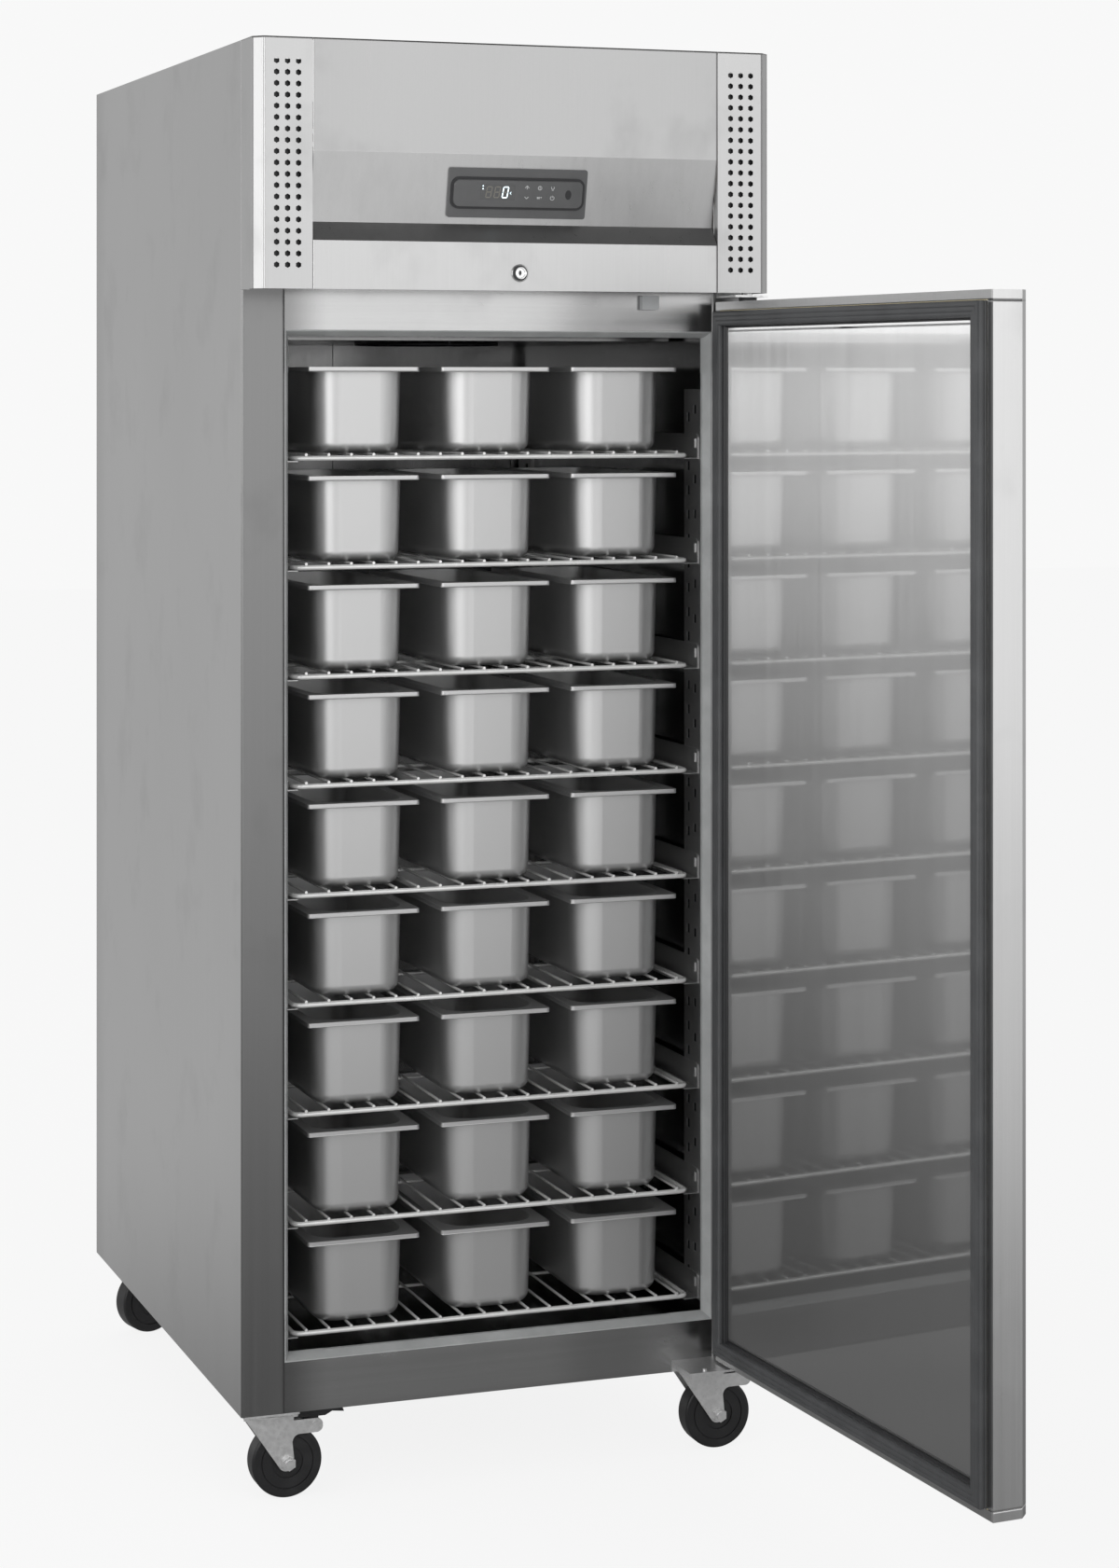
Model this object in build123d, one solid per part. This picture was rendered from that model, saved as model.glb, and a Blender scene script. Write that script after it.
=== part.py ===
"""Commercial upright freezer: a stainless cabinet on castors with its machine room behind a canopy.

Millimetres, +Z up, -Y to the front, +X to the right as seen from the front. The origin is on the floor
at the centre of the cabinet body. The door stands open, the shelves are pushed home and the lock is open.
"""

from build123d import *
from math import atan2, cos, degrees, floor, hypot, radians, sin, sqrt
import os

# Cabinet body
cabinet_width = 760.0
body_depth = 940.0
body_height = 1892.0
castor_height = 125.0
skin = 1.0
jamb_width = 61.5
sill_height = 70.0
opening_height = 1425.0
ceiling_thickness = 57.0
rear_wall = 60.0
foam_recess = 1.5
upper_flange = 15.0
top_flange = 20.0
seat_gap = 0.3
running_gap = 0.05

# Plastic frame around the opening
breaker_reach = 8.5
breaker_land = 1.5
breaker_slope_depth = 15.0
breaker_depth = 22.0

# Canopy
canopy_depth = 71.0
canopy_height = 342.5
canopy_chamfer = 13.0
grille_width = 82.0
panel_gap = 0.8
lower_flat = 66.5
ledge_rise = 26.0
slope_rise = 96.0
slope_recess = 21.0
canopy_return = 25.0
canopy_rear_flange = 12.0
canopy_bottom_flange = 12.0
vent_rows = 19
vent_columns = 3
vent_pitch = 15.4
vent_hole_radius = 4.3
vent_first_column = 31.0
vent_top_margin = 33.0

# Controller and lock on the canopy
bezel_width = 204.0
bezel_height = 70.0
bezel_thickness = 3.5
bezel_corner = 4.0
module_width = 190.0
module_height = 38.0
module_thickness = 4.0
module_corner = 9.0
module_body_depth = 45.0
module_body_height = 34.0
module_body_width = 180.0
controller_drop = 4.2
cutout_gap = 0.5
window_width = 52.0
window_height = 22.0
window_offset = -30.7
window_lift = 2.0
window_thickness = 1.0
lock_rise = 24.5
escutcheon_radius = 11.0
escutcheon_thickness = 2.5
lock_barrel_radius = 9.0
lock_plug_radius = 6.5
lock_barrel_depth = 26.0
lock_nut_radius = 12.0
lock_nut_thickness = 4.0
cam_length = 44.0
cam_width = 14.0
cam_thickness = 2.5
keyway_width = 1.6
keyway_height = 7.0
keyway_radius = 1.8
keyway_depth = 12.0

# Door
door_side_gap = 1.5
door_bottom = 19.5
door_top_gap = 12.5
door_thickness = 55.0
door_gap = 16.0
door_chamfer = 13.0
door_return = 12.0
door_skin = 1.0
pivot_inset = 28.0
pivot_depth = 38.0
door_open_angle = 94.2
gasket_inset = 13.5
gasket_width = 21.0
gasket_thickness = 14.0
gasket_round = 3.0
gasket_groove = 2.0
gasket_groove_depth = 2.5
inner_panel_gap = 1.5
inner_panel_dish = 3.0
inner_panel_margin = 6.0
strike_width = 22.0
strike_depth = 9.0

# Hinges
bracket_plate = 3.0
bracket_front = 70.0
lower_bracket_width = 121.0
lower_bracket_drop = 8.5
upper_bracket_width = 51.0
bracket_right_gap = 3.0
bracket_flange_height = 30.0
bracket_flange_inset = 16.0
hinge_pin_radius = 6.0
hinge_pin_engagement = 18.0
hinge_head_radius = 7.0
hinge_head_height = 2.6
bush_wall = 3.0
bush_flange_radius = 13.0
stud_radius = 3.0
stud_height = 2.5
stud_setback = 60.0
screw_radius = 4.5
screw_height = 3.0

# Racking
upright_front = 30.0
upright_width = 60.0
upright_rise = 7.0
upright_bottom = 90.0
upright_height = 1322.0
rear_upright_setback = 50.0
rack_sheet = 1.2
slot_pitch = 50.8
slot_height = 12.7
slot_width = 10.0
slot_setback = 14.0
slot_first = 22.7
keyslot_pitch = 35.6
keyslot_height = 13.4
keyslot_width = 10.0
keyslot_setback = 39.0
keyslot_first = 35.3

# Shelves and runners
shelf_count = 9
slots_per_shelf = 3
first_shelf = 97.0
shelf_width = 596.0
shelf_front = 33.5
shelf_depth = 800.0
frame_rod = 7.0
shelf_corner = 12.0
wire_count = 18
wire_rod = 4.0
wire_pitch = 32.7
support_rod = 5.0
support_first = 188.5
support_pitch = 185.0
support_count = 4
weld_sink = 0.5
ledge_width = 22.0
runner_top = 31.0
runner_front = 35.0
runner_length = 800.0
runner_corner = 7.0
tab_height = 13.0
tab_length = 6.0
tab_stand = 2.0
tab_setback = 8.0

# Pans
pans_per_shelf = 3
pan_pitch = 195.0
pan_width = 163.0
pan_length = 360.0
pan_height = 120.0
pan_front = 30.0
pan_wall = 0.8
pan_flange = 14.0
pan_draft = 3.5
pan_floor_radius = 14.0
pan_corner = 36.0
pan_lip = 5.6
pan_lip_corner = 5.0

# Air ducts inside the cavity
duct_side_gap = 14.0
duct_depth = 28.0
duct_bottom_gap = 9.0
duct_seam = -5.0
duct_slot_width = 70.0
duct_slot_height = 8.0
duct_slot_pitch = 22.0
duct_slot_rows = 4
duct_slot_columns = 3
duct_column_pitch = 91.0
ceiling_panel_drop = 13.0
ceiling_panel_front = 135.0
ceiling_panel_rear_gap = 4.0
cold_fan_setback = 357.0

# Refrigeration
chamber_width = 500.0
chamber_front = 215.0
chamber_depth = 655.0
chamber_height = 143.0
chamber_wall = 35.0
coil_front = 520.0
coil_depth = 120.0
coil_width = 420.0
coil_height = 140.0
tray_wall = 22.0
tray_front = 490.0
tray_depth = 185.0
fin_pitch = 10.0
fin_groove = 7.0
fin_groove_depth = 8.0
fan_radius = 98.0
fan_tip_gap = 6.0
fan_hub_radius = 26.0
fan_blade_width = 44.0
fan_blade_thickness = 2.0
fan_blade_pitch = 26.0
fan_depth = 22.0
fan_blades = 5
fan_struts = 3
motor_rise = 10.0
shaft_radius = 4.0
motor_radius = 30.0
motor_length = 38.0
shroud_wall = 2.0
shroud_height = 34.0
strut_width = 12.0
guard_wire = 3.0
guard_hub_radius = 12.0
guard_bars = 4
compressor_place = (-230.0, 92.0)
compressor_radius = 72.0
compressor_height = 170.0
grommet_radius = 9.0
grommet_height = 10.0
foot_span = 64.0
foot_sheet = 3.0
condenser_place = 40.0
condenser_front = 12.0
condenser_width = 290.0
condenser_depth = 76.0
condenser_height = 214.0
header_plate = 2.0
header_margin = 5.0
bend_rows = 5
bend_pitch = 38.0
pipe_radius = 4.0
pipe_bend = 14.0
drier_radius = 12.0
drier_length = 56.0
pipe_reach = 40.0
liquid_place = 200.0
control_box = (120.0, 84.0, 96.0)
control_box_place = (285.0, 60.0)
gland_radius = 11.0
gland_bore = 5.0
gland_height = 60.0
gland_offset = 230.0

# Door switch
switch_place = 220.0
switch_size = (26.0, 10.0, 20.0)
switch_lift = 31.0

# Castors
castor_front_left = (44.0, 40.0)
castor_front_right = (690.0, 40.0)
castor_rear_left = (50.0, 900.0)
castor_rear_right = (690.0, 900.0)
rear_left_turn = 14.0
castor_plate_size = 80.0
castor_plate = 3.0
castor_bolt_span = 34.0
castor_bolt_head = 5.0
castor_bolt_head_height = 3.5
castor_bolt_radius = 3.0
race_radius = 34.0
race_height = 1.7
kingpin_radius = 6.0
kingpin_head_radius = 10.0
kingpin_head_height = 5.0
fork_radius = 36.0
fork_sheet = 2.5
fork_gap = 36.0
wheel_radius = 50.0
wheel_width = 32.0
wheel_trail = 28.0
wheel_groove_radius = 37.5
wheel_groove = 1.6
wheel_recess_radius = 22.3
wheel_recess = 2.0
wheel_crown = 4.0
hub_radius = 14.0
axle_radius = 5.8
axle_nut_radius = 10.0
axle_nut_height = 7.0
fork_tip_radius = 11.5
fork_neck = 33.0
arm_top = 17.0
arm_bottom = 36.5
arm_end = 78.0
arm_round = 9.0
arch_radius = 11.0
pedal_pivot = (66.0, 24.0)
pedal_pin_radius = 3.0
pedal_start = 38.5
pedal_end = 110.0
pedal_width = 30.0
pedal_top = 8.5
pedal_bottom = 16.0
pedal_lug = 14.0
pedal_tip_rise = 5.0

# Places that follow from the sizes above
half = cabinet_width / 2
front = -body_depth / 2
back = body_depth / 2
base = castor_height
top = base + body_height
sill_top = base + sill_height
opening_top = sill_top + opening_height
deck = opening_top + ceiling_thickness
opening_half = half - jamb_width
cavity_half = opening_half + foam_recess
cavity_floor = sill_top - foam_recess
cavity_ceiling = opening_top + foam_recess
liner_half = cavity_half - skin
liner_floor = cavity_floor + skin
liner_ceiling = cavity_ceiling - skin
liner_back = back - rear_wall - skin
liner_front = front + breaker_depth
canopy_front = front - canopy_depth
canopy_bottom = top - canopy_height
ledge_bottom = canopy_bottom + lower_flat
ledge_top = ledge_bottom + ledge_rise
slope_top = ledge_top + slope_rise
seam = half - grille_width
door_half = half - door_side_gap
door_low = base + door_bottom
door_high = canopy_bottom - door_top_gap
door_back = front - door_gap
door_front = door_back - door_thickness
pivot_x = half - pivot_inset
pivot_y = door_back - pivot_depth
web_x = liner_half - upright_rise
ceiling_panel_z = liner_ceiling - ceiling_panel_drop
cold_fan_y = front + cold_fan_setback
chamber_low_y = front + chamber_front
chamber_high_y = chamber_low_y + chamber_depth
chamber_top = deck + chamber_height
deck_top = deck + skin
compressor_centre = (compressor_place[0], front + compressor_place[1])
condenser_low_y = front + condenser_front
condenser_high_y = condenser_low_y + condenser_depth
machine_fan_y = condenser_high_y + seat_gap + shroud_height / 2
machine_fan_z = deck_top + header_margin + condenser_height / 2
shelf_pitch = slot_pitch * slots_per_shelf
pan_floor_z = frame_rod / 2 + wire_rod - weld_sink + seat_gap


def block(x0, x1, y0, y1, z0, z1):
    """A box between two corners."""
    return Pos((x0 + x1) / 2, (y0 + y1) / 2, (z0 + z1) / 2) * Box(x1 - x0, y1 - y0, z1 - z0)


def face_of(points):
    """A flat face in the XY plane from its corner points."""
    return make_face(Polyline(*points, close=True))


def prism_x(points, x0, x1):
    """A prism along X whose outline is given in Y and Z."""
    outline = face_of([(0, y, z) for y, z in points])
    return Pos(x0, 0, 0) * extrude(outline, x1 - x0, dir=(1, 0, 0))


def prism_y(points, y0, y1):
    """A prism along Y whose outline is given in X and Z."""
    outline = face_of([(x, 0, z) for x, z in points])
    return Pos(0, y0, 0) * extrude(outline, y1 - y0, dir=(0, 1, 0))


def prism_z(points, z0, z1):
    """A prism along Z whose outline is given in X and Y."""
    return Pos(0, 0, z0) * extrude(face_of(points), z1 - z0, dir=(0, 0, 1))


def rod(start, end, radius):
    """A round rod between two points."""
    direction = Vector(*end) - Vector(*start)
    return Solid.make_cylinder(radius, direction.length, Plane(origin=start, z_dir=direction))


def tube_path(points, bend, radius):
    """A round tube along straight runs with equal bends."""
    path = FilletPolyline(*points, radius=bend)
    section = Plane(origin=path @ 0, z_dir=path % 0) * Circle(radius)
    return sweep(section, path=path)


def sheet_outline(points, thickness):
    """The closed outline of a bent sheet: a line of points and the same line moved to its left."""
    inner = []
    for i, point in enumerate(points):
        before = points[max(i - 1, 0)]
        after = points[min(i + 1, len(points) - 1)]
        into = unit(before, point) if i else unit(point, after)
        out = unit(point, after) if i < len(points) - 1 else into
        middle = (into[0] + out[0], into[1] + out[1])
        stretch = 2 * thickness / (middle[0] ** 2 + middle[1] ** 2)
        inner.append((point[0] - middle[1] * stretch, point[1] + middle[0] * stretch))
    return list(points) + inner[::-1]


def unit(start, end):
    """The unit vector from one flat point to another."""
    length = hypot(end[0] - start[0], end[1] - start[1])
    return ((end[0] - start[0]) / length, (end[1] - start[1]) / length)


def mirrored(shape):
    """The same shape on the other side of the cabinet's middle plane."""
    return mirror(shape, about=Plane.YZ)


def hexagon(radius, thickness):
    """A hexagonal nut or bolt head that stands on the XY plane."""
    return extrude(RegularPolygon(radius, 6), thickness)


def save(name, *pieces):
    """Write the separate solids of one sub-part to its own file."""
    solids = [solid for piece in pieces for solid in piece.solids()]
    export_step(Compound(children=solids) if len(solids) > 1 else solids[0], f"parts/{name}.step")


def side_panel():
    """The left side sheet with its front jamb, narrow flange beside the canopy and top flange."""
    side = block(-half, -half + skin, front, back, base, top)
    jamb = block(-half, -half + jamb_width, front, front + skin, base, deck)
    flange = block(-half, -half + upper_flange, front, front + skin, base, top)
    rim = block(-half, -half + top_flange, front, back, top - skin, top)
    return side + jamb + flange + rim


def rear_panel():
    """The back sheet with two fields of vent slots and the hole for the mains gland."""
    sheet = block(-half + skin, half - skin, back - skin, back, base, top - skin)
    slot = block(-duct_slot_width / 2, duct_slot_width / 2, back - 2 * skin, back + skin, 0, duct_slot_height)
    rows = floor((top - chamber_top) / duct_slot_pitch) - 1
    for column in range(-duct_slot_columns, duct_slot_columns + 1):
        for row in range(rows):
            height = chamber_top + duct_slot_pitch / 2 + row * duct_slot_pitch
            sheet -= Pos(column * duct_column_pitch, 0, height) * slot
    return sheet - gland_hole(gland_bore + bush_wall)


def gland_hole(radius):
    """A bore through the back sheet where the mains lead enters."""
    height = deck + gland_height
    return rod((gland_offset, back - 2 * skin, height), (gland_offset, back + skin, height), radius)


def base_pan():
    """The flat sheet that closes the foam underneath."""
    return block(-half + skin, half - skin, front + skin, back - skin, base, base + skin)


def foam_body():
    """The cabinet's insulation around the storage space, open to the front and to the coil chamber."""
    foam = block(-half + skin, half - skin, front + skin, back - skin, base + skin, deck)
    foam -= block(-cavity_half, cavity_half, front, back - rear_wall, cavity_floor, cavity_ceiling)
    return foam - chamber_space(liner_ceiling)


def chamber_space(low):
    """The room of the cold coil, from a given height up to the chamber's roof."""
    width = chamber_width / 2
    return block(-width, width, chamber_low_y, chamber_high_y, low, chamber_top - chamber_wall)


def foam_chamber():
    """The insulated box on the deck that holds the cold coil."""
    outer = chamber_width / 2 + chamber_wall
    shell = block(
        -outer, outer, chamber_low_y - chamber_wall, chamber_high_y + chamber_wall, deck_top, chamber_top
    )
    shell -= chamber_space(deck)
    for place in (suction_exit(), liquid_exit()):
        start = (place[0], place[1] - 2 * chamber_wall, place[2])
        shell -= rod(start, (place[0], place[1] + chamber_wall, place[2]), pipe_radius + seat_gap)
    return shell


def inner_liner():
    """The stainless lining of the storage space."""
    shell = block(-cavity_half, cavity_half, liner_front, back - rear_wall, cavity_floor, cavity_ceiling)
    shell -= block(-liner_half, liner_half, front, liner_back, liner_floor, liner_ceiling)
    return shell - chamber_space(liner_ceiling - skin)


def frame_block(half_width, low, high, border, y0, y1):
    """A flat rectangular frame around the Y axis, with its border measured inwards."""
    outer = block(-half_width, half_width, y0, y1, low, high)
    inner_half = half_width - border
    return outer - block(-inner_half, inner_half, y0 - 1, y1 + 1, low + border, high - border)


def rectangle_face(half_width, low, high, y):
    """A rectangular face across the Y axis."""
    corners = [(-half_width, y, low), (half_width, y, low), (half_width, y, high), (-half_width, y, high)]
    return face_of(corners)


def breaker_frame():
    """Four strips of plastic that cover the joint between the front frame and the lining."""
    outer = block(-opening_half, opening_half, front, liner_front, sill_top, opening_top)
    hook = foam_recess
    hook_half = opening_half + hook
    outer += block(-hook_half, hook_half, front + skin, liner_front, sill_top - hook, opening_top + hook)
    slope_end = front + breaker_slope_depth
    mouth = rectangle_face(
        opening_half - breaker_land, sill_top + breaker_land, opening_top - breaker_land, front
    )
    throat = rectangle_face(
        opening_half - breaker_reach, sill_top + breaker_reach, opening_top - breaker_reach, slope_end
    )
    reach_half = opening_half - breaker_reach
    tunnel = block(
        -reach_half, reach_half, slope_end, liner_front, sill_top + breaker_reach, opening_top - breaker_reach
    )
    return outer - loft([mouth, throat], ruled=True) - tunnel


def face_frame():
    """The front sheets over and under the opening, the upper one folded back as the machine deck."""
    lintel = block(-opening_half, opening_half, front, front + skin, opening_top, deck_top)
    deck_sheet = block(-half + skin, half - skin, front + skin, back - skin, deck, deck_top)
    sill = block(-opening_half, opening_half, front, front + skin, base, sill_top)
    return [lintel + deck_sheet - chamber_space(deck - skin), sill]


def vent_grille():
    """The left canopy panel: side, slanted corner and perforated front in one bent sheet."""
    side_end = canopy_front + canopy_chamfer
    outline = sheet_outline(
        [
            (-seam - panel_gap / 2, canopy_front + canopy_return),
            (-seam - panel_gap / 2, canopy_front),
            (-half + canopy_chamfer, canopy_front),
            (-half, side_end),
            (-half, front),
            (-half + canopy_rear_flange, front),
        ],
        -skin,
    )
    panel = prism_z(outline, canopy_bottom, top)
    hole_plane = Plane(origin=(0, canopy_front - skin, 0), z_dir=(0, 1, 0))
    hole = hole_plane * hexagon(vent_hole_radius, 3 * skin)
    for column in range(vent_columns):
        for row in range(vent_rows):
            x = -half + vent_first_column + column * vent_pitch
            panel -= Pos(x, 0, top - vent_top_margin - row * vent_pitch) * hole
    return panel


def slope_point(height):
    """The point of the canopy's slanted face at a given height, in Y and Z."""
    share = (slope_top - height) / slope_rise
    return (canopy_front + slope_recess * share, height)


def slope_plane(height):
    """The plane of the slanted face, X to the right, Y up the slope and Z outwards."""
    y, z = slope_point(height)
    return Plane(origin=(0, y, z), x_dir=(1, 0, 0), z_dir=(0, -slope_rise, -slope_recess))


def controller_height():
    """The height of the controller's middle, a little under the middle of the slanted face."""
    return (ledge_top + slope_top) / 2 - controller_drop


def fascia():
    """The middle canopy panel: flat top, slanted controller face, ledge, lock rail and bottom flange."""
    outline = sheet_outline(
        [
            (canopy_front + canopy_return, top),
            (canopy_front, top),
            (canopy_front, slope_top),
            (canopy_front + slope_recess, ledge_top),
            (canopy_front, ledge_bottom),
            (canopy_front, canopy_bottom),
            (canopy_front + canopy_bottom_flange, canopy_bottom),
        ],
        skin,
    )
    reach = seam - panel_gap / 2
    panel = prism_x(outline, -reach, reach)
    cutout_width = module_body_width + 2 * cutout_gap
    cutout_height = module_body_height + 2 * cutout_gap
    panel -= slope_plane(controller_height()) * Box(cutout_width, cutout_height, 4 * module_thickness)
    z = canopy_bottom + lock_rise
    lock_radius = lock_barrel_radius + running_gap
    return panel - rod((0, canopy_front - skin, z), (0, canopy_front + 2 * skin, z), lock_radius)


def control_panel():
    """The controller: bezel plate, raised module, body behind the canopy and the display window."""
    body_low = module_body_depth
    body = Pos(0, 0, -body_low / 2) * Box(module_body_width, module_body_height, body_low)
    bezel = extrude(RectangleRounded(bezel_width, bezel_height, bezel_corner), bezel_thickness)
    raised = RectangleRounded(module_width, module_height, module_corner)
    module = Pos(0, 0, bezel_thickness) * extrude(raised, module_thickness)
    module = chamfer(module.faces().sort_by(Axis.Z)[-1].edges(), module_thickness / 4)
    face_z = bezel_thickness + module_thickness
    recess = Pos(window_offset, window_lift, face_z - window_thickness / 2) * Box(
        window_width, window_height, window_thickness
    )
    window = Pos(window_offset, window_lift, face_z - window_thickness / 2) * Box(
        window_width - 2 * running_gap, window_height - 2 * running_gap, window_thickness
    )
    place = slope_plane(controller_height())
    return [place * (body + bezel + module - recess), place * window]


def lock_housing():
    """The fixed barrel of the lock with its escutcheon and clamping nut."""
    z = canopy_bottom + lock_rise
    front_y = canopy_front - escutcheon_thickness
    barrel = rod((0, canopy_front, z), (0, canopy_front + lock_barrel_depth, z), lock_barrel_radius)
    disc = rod((0, front_y, z), (0, canopy_front, z), escutcheon_radius)
    nut_plane = Plane(origin=(0, canopy_front + skin, z), z_dir=(0, 1, 0))
    nut = nut_plane * hexagon(lock_nut_radius, lock_nut_thickness)
    bore_end = canopy_front + lock_barrel_depth + skin
    bore = rod((0, front_y - skin, z), (0, bore_end, z), lock_plug_radius + running_gap)
    return barrel + disc + nut - bore


def lock_cylinder():
    """The turning plug of the lock with its keyway and the cam behind it, pointing right when open."""
    z = canopy_bottom + lock_rise
    front_y = canopy_front - escutcheon_thickness + running_gap
    rear_y = canopy_front + lock_barrel_depth + seat_gap
    plug = rod((0, front_y, z), (0, rear_y + cam_thickness, z), lock_plug_radius)
    key_end = front_y + keyway_depth
    key_z = z + keyway_radius
    key_half = keyway_width / 2
    keyway = rod((0, front_y - skin, key_z), (0, key_end, key_z), keyway_radius)
    keyway += block(-key_half, key_half, front_y - skin, key_end, z - keyway_height / 2, z + skin)
    cam = block(0, cam_length, rear_y, rear_y + cam_thickness, z - cam_width / 2, z + cam_width / 2)
    cam += rod((0, rear_y, z), (0, rear_y + cam_thickness, z), cam_width / 2)
    return plug - keyway + cam


def cam_slot(low):
    """The slot in the door's top edge that takes the lock's cam, down from the door's top."""
    middle = canopy_front + lock_barrel_depth + seat_gap + cam_thickness / 2
    return block(
        -strike_width / 2,
        strike_width / 2,
        middle - cam_thickness * 2,
        middle + cam_thickness * 2,
        low,
        door_high + skin,
    )


def bush_reach():
    """How far a hinge bush goes into the door."""
    return hinge_pin_engagement + 2 * seat_gap


def hinge_bores(radius):
    """The upright bores of the two door hinges."""
    reach = bush_reach()
    lower = rod((pivot_x, pivot_y, door_low - skin), (pivot_x, pivot_y, door_low + reach), radius)
    upper = rod((pivot_x, pivot_y, door_high - reach), (pivot_x, pivot_y, door_high + skin), radius)
    return lower + upper


def door_outline(inset):
    """The door's plan outline with its two slanted front edges, moved inwards by an inset."""
    shift = inset * (sqrt(2) - 1)
    width = door_half - inset
    slant = door_chamfer + shift - inset
    return [
        (-width, door_back - inset),
        (-width, door_front + inset + slant),
        (-width + slant, door_front + inset),
        (width - slant, door_front + inset),
        (width, door_front + inset + slant),
        (width, door_back - inset),
    ]


def door_shell():
    """The door's outer pan with slanted long edges, closed ends and a narrow return at the back."""
    pan = prism_z(door_outline(0), door_low, door_high)
    pan -= prism_z(door_outline(door_skin), door_low + door_skin, door_high - door_skin)
    inner_half = door_half - door_return
    low = door_low + door_return
    high = door_high - door_return
    pan -= block(-inner_half, inner_half, door_back - 2 * skin, door_back + skin, low, high)
    return pan - hinge_bores(bush_outer() + running_gap) - cam_slot(door_high - strike_depth)


def bush_outer():
    """The outer radius of a hinge bush."""
    return hinge_pin_radius + running_gap + bush_wall


def door_foam():
    """The door's insulation core, with room for the bushes and the lock's cam."""
    core = prism_z(door_outline(door_skin), door_low + door_skin, door_high - door_skin)
    recess = door_return + inner_panel_gap
    half_width = door_half - recess
    panel_room = block(
        -half_width, half_width, door_back - 2 * skin, door_back, door_low + recess, door_high - recess
    )
    core -= block(-door_half, door_half, door_back - door_skin, door_back, door_low, door_high)
    return core - panel_room - hinge_bores(bush_outer() + running_gap) - cam_slot(door_high - strike_depth)


def inner_panel():
    """The door's inner sheet, with a shallow raised field inside the seal."""
    margin = door_return + inner_panel_gap
    half_width = door_half - margin
    low = door_low + margin
    high = door_high - margin
    sheet = block(-half_width, half_width, door_back - 2 * skin, door_back - skin, low, high)
    inset = gasket_inset + gasket_width + inner_panel_margin - margin
    base_face = rectangle_face(half_width - inset, low + inset, high - inset, door_back - skin)
    inset += inner_panel_dish
    top_y = door_back - skin + inner_panel_dish
    top_face = rectangle_face(half_width - inset, low + inset, high - inset, top_y)
    return sheet + loft([base_face, top_face], ruled=True)


def door_gasket():
    """The magnetic seal: a soft frame with rounded outer edges and folds in its flanks."""
    half_width = door_half - gasket_inset
    low = door_low + gasket_inset
    high = door_high - gasket_inset
    face_y = door_back + gasket_thickness
    ring = frame_block(half_width, low, high, gasket_width, door_back - skin + seat_gap, face_y)
    edges = ring.faces().sort_by(Axis.Y)[-1].edges()
    ring = fillet(edges, gasket_round)
    groove_y = door_back + (gasket_thickness - gasket_groove) / 2
    groove_end = groove_y + gasket_groove
    reach = skin + gasket_groove_depth
    outer = frame_block(half_width + skin, low - skin, high + skin, reach, groove_y, groove_end)
    inner_start = gasket_width - gasket_groove_depth
    inner = frame_block(
        half_width - inner_start,
        low + inner_start,
        high - inner_start,
        reach,
        groove_y,
        groove_end,
    )
    return ring - outer - inner


def hinge_bushes():
    """The two plastic bushes of the door, each with a flange that the bracket carries."""
    lower_gap = base_gap() - seat_gap
    inner = hinge_pin_radius + running_gap
    bushes = []
    for edge, away, flange in ((door_low, -1, lower_gap), (door_high, 1, upper_gap() - seat_gap)):
        start = edge + away * flange
        end = edge - away * bush_reach()
        sleeve = rod((pivot_x, pivot_y, start), (pivot_x, pivot_y, end), bush_outer())
        collar = rod((pivot_x, pivot_y, start), (pivot_x, pivot_y, edge), bush_flange_radius)
        bore = rod((pivot_x, pivot_y, start + away), (pivot_x, pivot_y, end - away), inner)
        bushes.append(sleeve + collar - bore)
    return bushes


def base_gap():
    """The gap between the lower bracket and the door."""
    return bracket_plate


def upper_gap():
    """The gap between the door and the upper bracket."""
    return door_top_gap - 2 * bracket_plate


def hinge_brackets():
    """The two hinge plates with their pins, the lower one with a skirt and a bright stud."""
    right = half - bracket_right_gap
    plate_top = door_low - base_gap()
    plate_low = plate_top - bracket_plate
    left = right - lower_bracket_width
    lower = block(left, right, front - bracket_front, front, plate_low, plate_top)
    skirt_low = plate_top - lower_bracket_drop
    lower += block(left, left + bracket_plate, front - bracket_front, front, skirt_low, plate_top)
    lower += block(left, right, front - bracket_plate, front, base + skin, plate_top)
    pin_top = plate_top + hinge_pin_engagement
    lower += rod((pivot_x, pivot_y, plate_low), (pivot_x, pivot_y, pin_top), hinge_pin_radius)
    stud_x = left + pivot_inset - skin
    stud_y = front - stud_setback
    lower += rod((stud_x, stud_y, plate_top), (stud_x, stud_y, plate_top + stud_height), stud_radius)
    plate_low = door_high + upper_gap()
    plate_top = plate_low + bracket_plate
    left = right - upper_bracket_width
    upper = block(left, right, front - bracket_front, front, plate_low, plate_top)
    flange_right = half - bracket_flange_inset
    flange_top = plate_top + bracket_flange_height
    upper += block(left, flange_right, front - bracket_plate, front, plate_low, flange_top)
    pin_low = door_high - hinge_pin_engagement
    upper += rod((pivot_x, pivot_y, plate_top), (pivot_x, pivot_y, pin_low), hinge_pin_radius)
    upper += Pos(pivot_x, pivot_y, plate_top) * hexagon(hinge_head_radius, hinge_head_height)
    for x in (left + 2 * screw_radius, flange_right - 2 * screw_radius):
        upper += screw_head(x, front - bracket_plate, plate_top + bracket_flange_height / 2)
    return [lower, upper]


def screw_head(x, y, z):
    """A hexagonal screw head that faces the front."""
    return Plane(origin=(x, y, z), z_dir=(0, -1, 0)) * hexagon(screw_radius, screw_height)


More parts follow.
